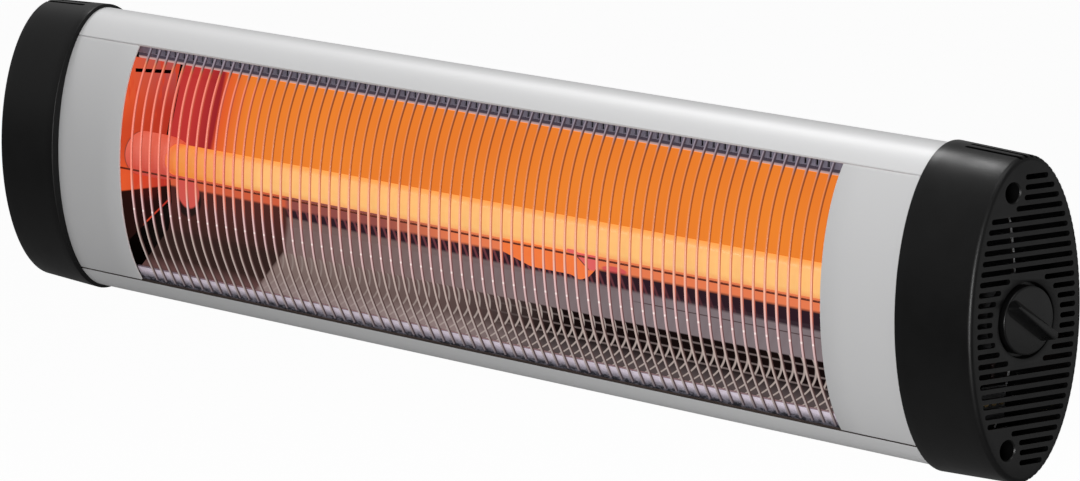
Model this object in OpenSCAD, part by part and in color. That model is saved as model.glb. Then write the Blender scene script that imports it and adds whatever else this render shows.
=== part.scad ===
// Wall-mounted electric bar heater: oval shell, glowing quartz tube behind a wire guard.
// The frame's origin is midway between the two wall inserts, on their outer faces.
// +X runs along the heater to its control end, -Y is the front, +Z is up.

/* [Overall] */
// Length over both end caps
heater_len = 887; // [820:1:1000]
// Finest step round a curved outline, in degrees
outline_step = 5; // [3:1:8]

/* [Shell] */
// Height of the oval shell
body_h = 180; // [176:0.5:190]
// Depth of the oval shell
body_d = 76.6; // [74:0.1:84]
// Sheet thickness of the shell
shell_t = 1.6; // [1:0.1:2]
// Height of the front opening's upper edge above the axis
seam_top = 74; // [72:0.5:76]
// Depth of the front opening's lower edge below the axis
seam_bottom = 77; // [76:0.5:79]
// Gap left at each sheet joint
seam_gap = 0.3; // [0.1:0.1:0.5]
// How far the shell runs inside each cap
shell_engage = 12; // [9:1:16]

/* [End caps] */
// Depth of a cap along the heater
cap_depth = 58; // [52:1:70]
// How far a cap's lip stands above the shell
cap_proud_z = 2.2; // [1.8:0.1:4]
// How far a cap's lip stands in front of the shell
cap_proud_y = 5.4; // [4.5:0.1:8]
// Taper of a cap's top and bottom, per side
cap_taper_z = 2; // [0:0.1:3]
// Taper of a cap's front and back, per side
cap_taper_y = 0.7; // [0:0.1:1.5]
// Wall thickness of a cap
cap_wall = 2.4; // [2:0.1:3]
// Thickness of the inward lip at a cap's mouth
cap_lip_t = 3; // [2:0.5:4]
// Clearance between the lip and the shell
cap_clear = 0.3; // [0.2:0.1:0.5]
// Bevel round a cap's outer edge
cap_edge = 3; // [1:0.5:4]

/* [Cap vents] */
// Spacing of the vent slots in a cap's end face
vent_pitch = 5.6; // [5:0.1:6.5]
// Width of a vent slot in the end face
vent_w = 3; // [2:0.1:3.5]
// Border left between the vent slots and the face's edge
vent_border = 5.5; // [4.5:0.5:8]
// Slots above and below the middle one
vent_rows = 14; // [10:1:14]
// Plain ring left round the knob's recess
vent_clear_knob = 5; // [4:0.5:7]
// Plain ring left round a screw well
vent_clear_well = 3.8; // [2:0.1:5]
// Spacing of the slots round a cap's rim
rim_pitch = 4.2; // [4:0.1:5]
// Width of a rim slot
rim_slot_w = 2; // [1.4:0.1:2.2]
// Distance from the cap's lip to the rim slots
rim_slot_start = 15; // [12:1:20]
// Depth of a rim slot
rim_slot_depth = 1.6; // [1:0.1:1.8]
// Rim slots in each cap
rim_slots = 56; // [20:2:56]

/* [Cap fixings] */
// Distance of the fixing screws in front of the axis
fix_y = 12.3; // [11:0.1:14]
// Height of the fixing screws above and below the axis
fix_z = 70.5; // [67:0.1:71]
// Diameter of the screw wells
well_d = 11; // [9:0.5:12]
// Wall round a screw well
well_wall = 1.6; // [1.2:0.1:2]
// Depth of a screw well
well_depth = 30; // [15:1:36]
// Shank diameter of a fixing screw
screw_d = 4; // [3:0.1:4.5]
// Head diameter of a fixing screw
screw_head_d = 8; // [7:0.1:9]
// Head height of a fixing screw
screw_head_h = 3; // [2:0.1:4]
// Clearance round a screw shank
screw_clear = 0.15; // [0.05:0.05:0.3]
// How far a screw reaches past the bulkhead
screw_reach = 4; // [2:0.5:8]

/* [Front plates] */
// Visible width of each front plate
plate_w = 64; // [50:1:80]
// Sheet thickness of a front plate
plate_t = 1.2; // [0.8:0.1:1.5]

/* [Guard] */
// Diameter of a guard wire
wire_d = 2; // [1.6:0.1:2.4]
// Number of upright guard wires
wire_count = 67; // [41:2:67]
// Spacing of the upright guard wires
wire_pitch = 9.45; // [9:0.05:9.5]
// Height of the wires' foremost point
wire_front_z = 3; // [0:0.5:5]
// Height of the wires' lower ends above the opening's lower edge
wire_foot_gap = 1.3; // [1:0.1:3]
// Height of the long cross wire
cross_z = -3.8; // [-12:0.1:12]
// Running gap between pieces that rest on each other
seat_gap = 0.1; // [0.05:0.05:0.3]

/* [Guard rails] */
// How far the upper rail lies behind the shell's edge
rail_inset = 3.1; // [2.8:0.1:4]
// Sheet thickness of both rails
rail_t = 1; // [0.8:0.1:1.2]
// Height of the upper rail's slots
rail_slot_h = 4.8; // [3:0.1:5]
// Width of a slot in the upper rail
rail_slot_w = 2.2; // [1.5:0.1:3]
// Place of a slot between two wires, as a part of their spacing
rail_slot_at = 0.38; // [0.3:0.01:0.45]
// Height of the upper rail's small notches
rail_notch_h = 2.8; // [2:0.1:3]
// Width of a small notch
rail_notch_w = 1.2; // [0.8:0.1:1.6]
// Place of a notch between two wires, as a part of their spacing
rail_notch_at = 0.83; // [0.7:0.01:0.85]
// Height of the lower strip's upper edge above the opening's lower edge
strip_h = 8.4; // [7:0.1:10]
// How far the lower strip leans back below the opening's lower edge
strip_lean = 5; // [4:0.5:7]
// Depth of the lower strip's foot along the shell
strip_foot = 9; // [6:0.5:12]

/* [Reflector] */
// Sheet thickness of the reflector
refl_t = 0.8; // [0.5:0.1:1]
// Height of the reflector's front lip
refl_lip = 3.1; // [2:0.1:4]
// Height of the lip's lower edge
refl_lip_z = 65.3; // [64:0.1:66]
// Height of the upper back corner
refl_top_z = 57.7; // [55:0.1:60]
// Distance of the upper back corner behind the axis
refl_top_y = 17; // [14:0.5:20]
// Height of the ridge behind the tube
refl_ridge_z = 8; // [4:0.5:12]
// Distance of the ridge behind the axis
refl_ridge_y = 4.5; // [4:0.1:8]
// Height of the lower crease
refl_crease_z = -29.5; // [-32:0.5:-28]
// Distance of the lower crease behind the axis
refl_crease_y = 7.4; // [6.5:0.1:10]
// Height of the fold under the crease
refl_fold_z = -46.8; // [-50:0.1:-44]
// Distance of that fold behind the axis
refl_fold_y = 5; // [4:0.1:7]
// Gap between the reflector and each end plate
refl_gap = 3.5; // [1:0.5:5]
// Distance of the ribs behind the reflector from the middle
rib_x = 225; // [180:1:280]
// Sheet thickness of a rib
rib_t = 1.5; // [1:0.1:2]

/* [End plates] */
// Distance of the trough's end plates past the opening
end_gap = 8.5; // [8:0.5:12]
// Sheet thickness of an end plate
end_t = 1; // [0.8:0.1:1.5]
// Height of the end plate's lower front corner
end_low_z = -55; // [-58:1:-50]
// Height of the slot across an end plate
end_slot_z = 55.5; // [53:0.5:56.5]
// Height of that slot
end_slot_h = 2.4; // [1.5:0.1:3]
// Distance of that slot's back end behind the axis
end_slot_back = 12; // [8:0.5:13]
// Fall of that slot towards the back, in degrees
end_slot_fall = 6.6; // [4:0.1:8]

/* [Quartz tube] */
// Outer diameter of the quartz tube
tube_d = 20; // [16:0.1:22]
// Wall of the quartz tube
tube_wall = 1.2; // [1:0.1:1.5]
// Distance of the tube's axis in front of the shell's axis
tube_y = 14; // [12.5:0.1:15]
// Height of the tube's axis
tube_z = 3.5; // [0:0.1:7]
// Diameter of the heating element's winding
coil_d = 12; // [8:0.5:14]
// Thickness of the winding
coil_t = 0.8; // [0.5:0.1:1.5]
// Diameter of a ceramic holder's wide part
holder_d = 28; // [26:0.5:30]
// Length of the left holder's wide part in front of its end plate
holder_front_left = 38; // [30:0.5:45]
// Length of the right holder's wide part in front of its end plate
holder_front_right = 20; // [18:0.5:30]
// Length of the taper at a holder's front
holder_nose = 16; // [8:0.5:17]
// Wall of a holder at its front edge
holder_lip = 0.9; // [0.6:0.1:1.5]
// Diameter of a holder's neck
holder_neck_d = 24; // [23:0.5:25]
// Length of a holder's neck behind the wide part
holder_neck = 16; // [8:0.5:24]
// Clearance of the tube in its holders
tube_clear = 0.1; // [0.05:0.05:0.3]
// Depth of solid ceramic behind the tube
holder_back = 5; // [3:0.5:6]

/* [Tube support] */
// Position of the tube's support along the heater
support_x = 93; // [-150:1:150]
// Length of the strap on the left of its hook
strap_len = 70; // [50:1:90]
// Length of the strap's sloping end
strap_ramp = 27; // [15:1:40]
// Depth of the strap at its ends
strap_side = 7.5; // [5:0.5:9]
// Depth of the strap in its middle
strap_h = 13.6; // [10:0.2:16]
// Drop of the hook below the strap
strap_hook = 2.4; // [1:0.1:4]
// Drop of the strap's foot below the tube
strap_foot_drop = 11; // [8:0.5:12]
// Width of the strap's foot
strap_foot = 30; // [20:1:40]
// Width of the cradle under the tube
cradle_w = 7; // [5:0.5:10]
// Depth of the cradle's rim below the tube's axis
cradle_rim = 3.3; // [1:0.1:6]
// Sheet thickness of the support
strap_t = 1.2; // [0.8:0.1:1.5]

/* [Bulkheads] */
// Distance of a bulkhead's outer face inside the shell's end
bulk_set = 1; // [0.5:0.5:3]
// Sheet thickness of a bulkhead
bulk_t = 1.5; // [1:0.1:2]
// Height of the channel between an end plate and its bulkhead
channel_h = 34; // [30:1:40]
// Depth of that channel
channel_d = 30; // [28:1:32]
// Sheet thickness of that channel
channel_t = 1.2; // [0.8:0.1:1.5]
// Diameter of a lead hole in a bulkhead
lead_hole_d = 12; // [8:0.5:14]
// Distance of the long lead behind the axis
lead_y = 25; // [23:0.5:28]
// Depth of the long lead below the axis
lead_z = 20; // [16:0.5:30]
// Distance past the left holder at which the long lead turns
lead_turn = 14.5; // [10:0.5:25]
// Diameter of an insulated lead
lead_d = 2.6; // [2:0.1:3.2]
// Swelling of a lead where it bends, as a factor
lead_bend = 1.15; // [1.05:0.05:1.4]

/* [Control] */
// Diameter of the knob's disc
knob_d = 38; // [34:0.5:40]
// Gap between the knob and the recess wall
knob_gap = 2; // [1:0.1:3]
// Depth of the recess under the knob
knob_recess = 4.5; // [4:0.1:6]
// Gap under the knob's disc
knob_lift = 0.5; // [0.4:0.1:0.8]
// Diameter of the hollow under the knob
knob_hollow_d = 18.4; // [18:0.1:20]
// Depth of that hollow
knob_hollow = 3.2; // [2.6:0.1:3.4]
// Thickness of the knob's disc
knob_disc = 6; // [5.4:0.1:6.5]
// Height of the knob's grip above the disc
grip_h = 7.6; // [6:0.1:10]
// Distance of the grip's ends from the disc's edge
grip_inset = 0.4; // [0.2:0.1:2]
// Lean of the grip's ends over its height
grip_lean = 0.8; // [0:0.1:2]
// Width of the grip at its foot
grip_w = 10; // [9.5:0.5:12]
// Width of the grip along its ridge
grip_ridge = 3.5; // [2:0.1:5]
// Direction in which the knob points, from the rear
pointer_deg = -33; // [-90:1:90]
// How far the spindle reaches into the grip
spindle_reach = 3; // [2:0.1:6]
// Diameter of the switch spindle
spindle_d = 6; // [5:0.1:6.4]
// Depth of the flat on the spindle
spindle_flat = 1.4; // [1:0.1:1.6]
// Running clearance round the spindle
spindle_clear = 0.05; // [0.02:0.01:0.1]
// Diameter of the threaded bush
bush_d = 10; // [9:0.1:11]
// Gap at the spindle's inner end
move_gap = 0.4; // [0.3:0.1:0.8]
// Clearance round the threaded bush
bush_clear = 0.1; // [0.05:0.05:0.2]
// Width across the flats of the bush nut
bush_nut_af = 14; // [13:0.5:15]
// Thickness of the bush nut
bush_nut_t = 2.2; // [1.8:0.1:2.5]
// Width and height of the switch housing
switch_w = 32; // [26:1:36]
// Depth of the switch housing
switch_d = 16; // [12:1:18]
// Spacing of the spade terminals
spade_pitch = 8; // [7:0.5:10]
// Length of a spade terminal
spade_len = 8; // [6:0.5:9]
// Width of a spade terminal
spade_w = 6.3; // [4.8:0.1:6.3]
// Thickness of a spade terminal
spade_t = 0.8; // [0.5:0.1:1]

/* [Mains entry] */
// Distance of the cable gland from the right cap's lip
gland_x = 26; // [24:0.5:28]
// How far the gland's pad stands behind the cap's lip
gland_pad_proud = 0.2; // [0.1:0.1:2]
// Diameter of the cable passage
gland_bore = 8; // [6:0.1:9]
// Diameter of the gland's threaded neck
gland_neck_d = 15; // [13:0.5:16]
// Diameter of the gland's flange
gland_flange_d = 21; // [19:0.5:22]
// Thickness of the gland's flange
gland_flange_t = 2.5; // [2:0.1:4]
// Width across the flats of the gland's nut
gland_nut_af = 20; // [18:0.5:21]
// Thickness of the gland's nut
gland_nut_t = 4; // [3:0.5:5]
// Width and length of the terminal block
block_w = 18; // [16:1:20]
// Depth of the terminal block
block_d = 14; // [12:1:16]
// Depth of the terminal block's top below the axis
block_z = 42; // [38:1:46]
// Diameter of a terminal screw's head
block_screw_d = 4; // [3:0.1:4.5]
// Height of a terminal screw's head
block_screw_h = 1; // [0.5:0.1:2]
// Spacing of the terminal block's ways
block_pitch = 6; // [5:0.5:6]

/* [Wall inserts] */
// Distance between the two wall inserts
insert_span = 300; // [200:1:400]
// Diameter of the inserts' threaded holes
insert_bore = 6.4; // [6.2:0.1:6.8]
// Diameter of an insert's barrel
insert_d = 9; // [8.5:0.1:10]
// Length of an insert's barrel
insert_len = 13; // [10:0.5:14]
// Diameter of an insert's flange
insert_flange_d = 14; // [12:0.5:16]
// Thickness of an insert's flange
insert_flange_t = 1.2; // [1:0.1:2]

/* [Hidden] */
$fn = 64;

// Overlap that makes a cut pass clean through
cut = 1;
// Thickness of the thin plates between which a form is spanned
sliver = 0.1;
// Half sizes of the shell's oval, outside
shell_a = body_d / 2;
shell_b = body_h / 2;
// Half sizes of the shell's oval, inside
inner_a = shell_a - shell_t;
inner_b = shell_b - shell_t;
// Half sizes of a cap's oval at its lip and at its outer end
lip_a = shell_a + cap_proud_y;
lip_b = shell_b + cap_proud_z;
end_a = lip_a - cap_taper_y;
end_b = lip_b - cap_taper_z;
// Places along the heater, measured from its middle
end_x = heater_len / 2;
lip_x = end_x - cap_depth;
open_x = lip_x - plate_w;
trough_x = open_x + end_gap;
shell_x = lip_x + shell_engage;
bulk_x = shell_x - bulk_set;
floor_x = end_x - knob_recess;
wall_x = end_x - cap_wall;
// The shell's axis lies in front of the wall inserts' faces
axis_y = -shell_a - insert_flange_t;
// Front edges of the shell at the opening
edge_top_y = -shell_a * sqrt(1 - pow(seam_top / shell_b, 2));
// Upper rail and reflector lip
rail_y = edge_top_y + rail_inset;
// Guard wires: an arc through the shell's front and the upper rail
wire_r = wire_d / 2;
wire_mid_y = -shell_a + shell_t + wire_r;
wire_top_z = seam_top - shell_t;
wire_end_y = rail_y - wire_r - seat_gap;
wire_sag = wire_end_y - wire_mid_y;
arc_r = (pow(wire_top_z - wire_front_z, 2) + pow(wire_sag, 2)) / (2 * wire_sag);
wire_low_z = wire_foot_gap - seam_bottom;
// Tube and its holders
tube_r = tube_d / 2;
holder_end = trough_x + holder_neck;
tube_end = holder_end - holder_back;
// Mouth of the knob's recess
recess_r = knob_d / 2 + knob_gap;
knob_x = floor_x + knob_lift;
knob_face = knob_x + knob_disc;
spindle_end = knob_face + spindle_reach;
// Switch
switch_x = floor_x - cap_wall - switch_d;
// Ends of the leads
block_x = bulk_x + block_d / 2;
block_low = -block_z - block_w / 2;
spade_x = switch_x - spade_len - seat_gap;
// Cable gland
gland_at = lip_x + gland_x;
pad_y = lip_a + gland_pad_proud;
// Screws
head_x = end_x - well_depth;

function inside_z(y) = inner_b * sqrt(1 - pow(y / inner_a, 2));
function oval(a, b, from, to) =
    let (n = ceil((to - from) / outline_step))
    [for (i = [0:n]) let (t = from + (to - from) * i / n) [a * cos(t), b * sin(t)]];
function wire_x(i) = (i - (wire_count - 1) / 2) * wire_pitch;
function reversed(list) = [for (i = [len(list) - 1:-1:0]) list[i]];
// Angle of an oval's point at height z, on its front side
function front_angle(b, z) = 180 - asin(z / b);

// Sheet of thickness t laid on the left of a bent line
function left_of(a, b) = let (d = b - a) [-d[1], d[0]] / norm(d);
function corner(line, i, t) =
    let (n = len(line),
         u = left_of(line[max(i - 1, 0)], line[max(i, 1)]),
         v = left_of(line[min(i, n - 2)], line[min(i + 1, n - 1)]))
    line[i] + t * (u + v) / (1 + u * v);
function sheet(line, t) =
    concat(line, reversed([for (i = [0:len(line) - 1]) corner(line, i, t)]));

// Angles of n even steps along an oval, from half a step past its back
function stride(a, b, t) = norm([a * sin(t), b * cos(t)]) * PI / 180;
function walk(a, b, step, n) =
    [for (i = 0, t = step / 2 / stride(a, b, 0); i < n; i = i + 1, t = t + step / stride(a, b, t)) t];

// Point close behind a guard wire at height z
function behind_wire(z) =
    [wire_mid_y + arc_r - sqrt(pow(arc_r - wire_r - seat_gap, 2) - pow(z - wire_front_z, 2)), z];
// Point close above the shell's underside
function above_shell(y) = [y, seat_gap - inside_z(y)];

// The front line of the lower strip, from its upper edge down and back along the shell
strip_turn = behind_wire(-seam_bottom);
strip_line = [behind_wire(strip_h - seam_bottom), strip_turn, above_shell(strip_turn[0] + strip_lean),
              above_shell(strip_turn[0] + strip_lean + strip_foot)];
// The inner line of the reflector, from its lip down
refl_line = [[rail_y, refl_lip_z + refl_lip], [rail_y, refl_lip_z], [refl_top_y, refl_top_z],
             [refl_ridge_y, refl_ridge_z], [refl_crease_y, refl_crease_z],
             [refl_fold_y, refl_fold_z], corner(strip_line, 0, rail_t + seat_gap)];

module at_axis() {
    translate([0, axis_y, 0]) children();
}

// Extrudes an outline in Y and Z along X
module along(x, length) {
    translate([x, 0, 0]) rotate([90, 0, 90]) linear_extrude(length) children();
}

// Cylinder along X through a point of Y and Z
module rod(x, length, r, y, z) {
    translate([x, y, z]) rotate([0, 90, 0]) cylinder(h = length, r = r);
}

module mirrored(side) {
    if (side < 0) mirror([1, 0, 0]) children();
    else children();
}

// Solid oval plate
module oval_plate(x, length, a, b) {
    along(x, length) polygon(oval(a, b, 0, 360 - outline_step));
}

module body_shell() {
    from = -asin(seam_bottom / shell_b);
    ring = concat(oval(shell_a, shell_b, -180 - from, front_angle(shell_b, seam_top)),
                  reversed(oval(inner_a, inner_b, -180 - from, front_angle(shell_b, seam_top))));
    color("silver") at_axis() difference() {
        along(-shell_x, 2 * shell_x) polygon(ring);
        for (side = [-1, 1])
            translate([side * insert_span / 2, inner_a - cut, 0])
                rotate([-90, 0, 0]) cylinder(h = shell_t + 2 * cut, d = insert_d + 2 * seat_gap);
    }
}

module front_plate(side) {
    low = front_angle(shell_b, -seam_bottom + seam_gap);
    high = front_angle(shell_b, seam_top - seam_gap);
    back_a = shell_a - plate_t;
    back_b = shell_b - plate_t;
    face = concat(oval(shell_a, shell_b, high, low), reversed(oval(back_a, back_b, high, low)));
    color("lightgray") at_axis() mirrored(side) along(open_x, shell_x - open_x) polygon(face);
}

module front_plate_left() {
    front_plate(-1);
}

module front_plate_right() {
    front_plate(1);
}

module guard_wires() {
    high = asin((wire_top_z - wire_front_z) / arc_r);
    low = asin((wire_low_z - wire_front_z) / arc_r);
    color("gainsboro") at_axis()
        for (i = [0:wire_count - 1])
            translate([wire_x(i), wire_mid_y + arc_r, wire_front_z])
                rotate([90, 0, -90]) rotate([0, 0, low]) rotate_extrude(angle = high - low)
                    translate([arc_r, 0]) circle(d = wire_d, $fn = 24);
}

module guard_cross_wire() {
    y = behind_wire(cross_z)[0] + wire_r;
    length = 2 * (trough_x - seat_gap);
    color("gainsboro") at_axis() rod(-length / 2, length, wire_r, y, cross_z);
}

// Row of cuts through the upper rail, one between each two wires
module rail_cuts(place, width, low, height) {
    for (i = [0:wire_count - 2])
        translate([wire_x(i + place) - width / 2, rail_y - cut, low])
            cube([width, rail_t + 2 * cut, height]);
}

module guard_rail_top() {
    low = refl_lip_z + refl_lip + seat_gap;
    high = inside_z(rail_y) - seat_gap;
    length = 2 * (trough_x - seat_gap);
    slot_z = (low + rail_t / 2 + seam_top - rail_slot_h) / 2;
    color("dimgray") at_axis() difference() {
        translate([-length / 2, rail_y, low]) cube([length, rail_t, high - low]);
        rail_cuts(rail_slot_at, rail_slot_w, slot_z, rail_slot_h);
        rail_cuts(rail_notch_at, rail_notch_w, slot_z, rail_notch_h);
    }
}

module guard_rail_bottom() {
    length = 2 * (trough_x - seat_gap);
    color("lightsteelblue") at_axis() along(-length / 2, length) polygon(sheet(strip_line, rail_t));
}

module reflector() {
    length = 2 * (trough_x - refl_gap);
    color("orange") at_axis() along(-length / 2, length) polygon(sheet(refl_line, refl_t));
}

module trough_end(side) {
    front_a = shell_a - plate_t - seat_gap;
    front_b = shell_b - plate_t - seat_gap;
    front = oval(front_a, front_b, front_angle(front_b, refl_lip_z), front_angle(front_b, end_low_z));
    outline = concat([refl_line[1], refl_line[2], refl_line[3], refl_line[4]], reversed(front));
    color("orangered") at_axis() mirrored(side) difference() {
        along(trough_x, end_t) polygon(outline);
        rod(trough_x - cut, end_t + 2 * cut, holder_neck_d / 2 + seat_gap, -tube_y, tube_z);
        translate([trough_x - cut, rail_y, end_slot_z]) rotate([-end_slot_fall, 0, 0])
            cube([end_t + 2 * cut, end_slot_back - rail_y, end_slot_h]);
    }
}

module trough_end_left() {
    trough_end(-1);
}

module trough_end_right() {
    trough_end(1);
}

module quartz_tube() {
    length = 2 * tube_end;
    color("khaki") at_axis() difference() {
        rod(-length / 2, length, tube_r, -tube_y, tube_z);
        rod(-length / 2 - cut, length + 2 * cut, tube_r - tube_wall, -tube_y, tube_z);
    }
}

module heating_coil() {
    length = 2 * tube_end;
    color("gold") at_axis() difference() {
        rod(-length / 2, length, coil_d / 2, -tube_y, tube_z);
        rod(-length / 2 - cut, length + 2 * cut, coil_d / 2 - coil_t, -tube_y, tube_z);
    }
}

module holder(side, front) {
    from = trough_x - front;
    color("mistyrose") at_axis() mirrored(side) difference() {
        union() {
            translate([from, -tube_y, tube_z]) rotate([0, 90, 0])
                cylinder(h = holder_nose, r1 = tube_r + tube_clear + holder_lip, r2 = holder_d / 2);
            rod(from + holder_nose, front - holder_nose - seat_gap, holder_d / 2, -tube_y, tube_z);
            rod(from + holder_nose, holder_end - from - holder_nose, holder_neck_d / 2, -tube_y, tube_z);
        }
        rod(from - cut, tube_end - from + cut, tube_r + tube_clear, -tube_y, tube_z);
    }
}

module holder_left() {
    holder(-1, holder_front_left);
}

module holder_right() {
    holder(1, holder_front_right);
}

// Strap under the tube with a cradle, and a foot back to the reflector
module tube_support() {
    under = tube_z - tube_r - seat_gap;
    foot_z = under - strap_foot_drop;
    foot_y = corner(refl_line, 3, 0)[0] - seat_gap;
    color("coral") at_axis() {
        translate([0, strap_t / 2 - tube_y, 0]) rotate([90, 0, 0]) linear_extrude(strap_t)
            polygon([[support_x - strap_len, under], [support_x - strap_len, under - strap_side],
                     [support_x - strap_len + strap_ramp, under - strap_h],
                     [support_x - cradle_w, under - strap_h], [support_x, under - strap_h - strap_hook],
                     [support_x + cradle_w, under - strap_h], [support_x + 2 * cradle_w, under - strap_side],
                     [support_x + 2 * cradle_w, under]]);
        translate([support_x - strap_len / 2, strap_t / 2 - tube_y, foot_z])
            cube([strap_foot, foot_y + tube_y - strap_t / 2, strap_t]);
        difference() {
            rod(support_x - cradle_w / 2, cradle_w, tube_r + seat_gap + strap_t, -tube_y, tube_z);
            rod(support_x - cradle_w, 2 * cradle_w, tube_r + seat_gap, -tube_y, tube_z);
            translate([support_x - cradle_w, -tube_y - tube_d, tube_z - cradle_rim])
                cube([2 * cradle_w, 2 * tube_d, 2 * tube_d]);
        }
    }
}

// Ribs that carry the reflector on the shell's back, with a hole for the long lead
module back_ribs() {
    line = [for (i = [2:4]) corner(refl_line, i, refl_t + seat_gap)];
    back_a = inner_a - seat_gap;
    back_b = inner_b - seat_gap;
    back = oval(back_a, back_b, asin(refl_crease_z / back_b), asin(refl_top_z / back_b));
    color("slategray") at_axis()
        for (side = [-1, 1])
            difference() {
                along(side * rib_x - rib_t / 2, rib_t) polygon(concat(line, back));
                rod(side * rib_x - rib_t, 2 * rib_t, lead_d / 2 + seat_gap, lead_y, -lead_z);
            }
}

module channel(side) {
    length = bulk_x - bulk_t - trough_x - end_t - 2 * seat_gap;
    color("gray") at_axis() mirrored(side)
        translate([trough_x + end_t + seat_gap, -tube_y - channel_d / 2, tube_z - channel_h / 2])
            difference() {
                cube([length, channel_d, channel_h]);
                translate([-cut, channel_t, channel_t])
                    cube([length + 2 * cut, channel_d, channel_h - 2 * channel_t]);
            }
}

module channel_left() {
    channel(-1);
}

module channel_right() {
    channel(1);
}

module bulkhead(side) {
    color("slategray") at_axis() mirrored(side) difference() {
        oval_plate(bulk_x - bulk_t, bulk_t, inner_a - seat_gap, inner_b - seat_gap);
        for (z = [-fix_z, fix_z])
            rod(bulk_x - bulk_t - cut, bulk_t + 2 * cut, screw_d / 2 + seat_gap, -fix_y, z);
        rod(bulk_x - bulk_t - cut, bulk_t + 2 * cut, lead_hole_d / 2, lead_y, -lead_z);
        rod(bulk_x - bulk_t - cut, bulk_t + 2 * cut, lead_hole_d / 2, -tube_y, tube_z);
    }
}

module bulkhead_left() {
    bulkhead(-1);
}

module bulkhead_right() {
    bulkhead(1);
}

// A cap's outside, or its inside once inset
module cap_form(inset, from, to) {
    hull() {
        oval_plate(from, sliver, lip_a - inset, lip_b - inset);
        oval_plate(to - cap_edge, sliver, end_a - inset, end_b - inset);
        oval_plate(to - sliver, sliver, end_a - inset - cap_edge, end_b - inset - cap_edge);
    }
}

// Vent slots across the end face, kept off the knob and the screw wells
module face_vents(knob_clear) {
    field_a = end_a - vent_border;
    field_b = end_b - vent_border;
    well_clear = well_d / 2 + vent_clear_well;
    for (row = [-vent_rows:vent_rows]) {
        z = row * vent_pitch;
        half = field_a * sqrt(1 - pow(z / field_b, 2));
        near = max(fix_z - abs(z), 0);
        start = near < well_clear ? sqrt(pow(well_clear, 2) - pow(near, 2)) - fix_y : -half;
        if (abs(z) < knob_clear) {
            notch = sqrt(pow(knob_clear, 2) - pow(z, 2));
            vent(-half, -notch, z);
            vent(notch, half, z);
        } else {
            vent(start, half, z);
        }
    }
}

module vent(from, to, z) {
    if (to - from > vent_w)
        translate([wall_x - cut, from, z - vent_w / 2]) cube([cap_wall + 2 * cut, to - from, vent_w]);
}

// Slots along the rim, from the top round the back to the bottom
module rim_vents(skip_z) {
    for (t = walk(end_a, end_b, rim_pitch, rim_slots / 2), s = [-1, 1])
        if (end_b * sin(t) >= skip_z)
            rim_vent(s * t);
}

module rim_vent(t) {
    y = end_a * cos(t);
    z = end_b * sin(t);
    lean = atan2(z / pow(end_b, 2), y / pow(end_a, 2));
    translate([lip_x + rim_slot_start, y, z]) rotate([lean, 0, 0])
        translate([0, -rim_slot_depth, -rim_slot_w / 2])
            cube([cap_depth, rim_slot_depth + cap_proud_y, rim_slot_w]);
}

module cap_wells() {
    for (z = [-fix_z, fix_z])
        rod(bulk_x, wall_x - bulk_x + cut, well_d / 2 + well_wall, -fix_y, z);
}

module cap_shell() {
    difference() {
        cap_form(0, lip_x, end_x);
        cap_form(cap_wall, lip_x + cap_lip_t, wall_x);
        oval_plate(lip_x - cut, shell_engage + cap_clear + cut, shell_a + cap_clear, shell_b + cap_clear);
    }
}

module end_cap(side, knob_clear, skip_z) {
    color("#1c1c1e") at_axis() mirrored(side) difference() {
        union() {
            difference() {
                cap_shell();
                face_vents(knob_clear);
                rim_vents(skip_z);
            }
            cap_wells();
            if (side > 0) {
                rod(floor_x - cap_wall, wall_x + cut - floor_x + cap_wall, recess_r + cap_wall, 0, 0);
                gland_pad();
            }
        }
        for (z = [-fix_z, fix_z]) {
            rod(head_x, well_depth + cut, well_d / 2, -fix_y, z);
            rod(bulk_x - cut, well_depth * 2, screw_d / 2 + screw_clear, -fix_y, z);
        }
        if (side > 0) {
            rod(floor_x, knob_recess + cut, recess_r, 0, 0);
            rod(floor_x - cap_wall - cut, cap_wall + 2 * cut, bush_d / 2 + bush_clear, 0, 0);
            gland_hole();
        }
    }
}

// Flat pad on the cap's back that carries the cable gland
module gland_pad() {
    translate([gland_at, pad_y - 2 * cap_wall, 0]) rotate([-90, 0, 0])
        cylinder(h = 2 * cap_wall, d = gland_flange_d + cap_wall);
}

module gland_hole() {
    translate([gland_at, pad_y - 2 * cap_wall - cut, 0]) rotate([-90, 0, 0])
        cylinder(h = 2 * cap_wall + 2 * cut, d = gland_neck_d + 2 * seat_gap);
}

module end_cap_left() {
    end_cap(-1, 0, 0);
}

module end_cap_right() {
    end_cap(1, recess_r + vent_clear_knob, gland_flange_d / 2 + cap_wall);
}

module cap_screws() {
    tip_x = bulk_x - bulk_t - screw_reach;
    color("gray") at_axis()
        for (side = [-1, 1], z = [-fix_z, fix_z])
            mirrored(side) {
                rod(head_x + seat_gap, screw_head_h, screw_head_d / 2, -fix_y, z);
                rod(tip_x, head_x + 2 * seat_gap - tip_x, screw_d / 2, -fix_y, z);
            }
}

// Grip with a broad foot, a narrow ridge and round ends
module grip() {
    foot_reach = knob_d / 2 - grip_w / 2 - grip_inset;
    ridge_reach = knob_d / 2 - grip_ridge / 2 - grip_inset - grip_lean;
    hull() {
        for (s = [-1, 1]) {
            translate([knob_face - sliver, s * foot_reach, 0]) rotate([0, 90, 0])
                cylinder(h = sliver, d = grip_w, $fn = 32);
            translate([knob_face + grip_h - sliver, s * ridge_reach, 0]) rotate([0, 90, 0])
                cylinder(h = sliver, d = grip_ridge, $fn = 32);
        }
    }
}

module control_knob() {
    color("#161618") at_axis() rotate([pointer_deg, 0, 0]) difference() {
        union() {
            rod(knob_x, knob_disc, knob_d / 2, 0, 0);
            grip();
        }
        rod(knob_x - cut, knob_hollow + cut, knob_hollow_d / 2, 0, 0);
        spindle_form(knob_x, spindle_end + seat_gap, spindle_d / 2 + seat_gap / 2);
    }
}

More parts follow.
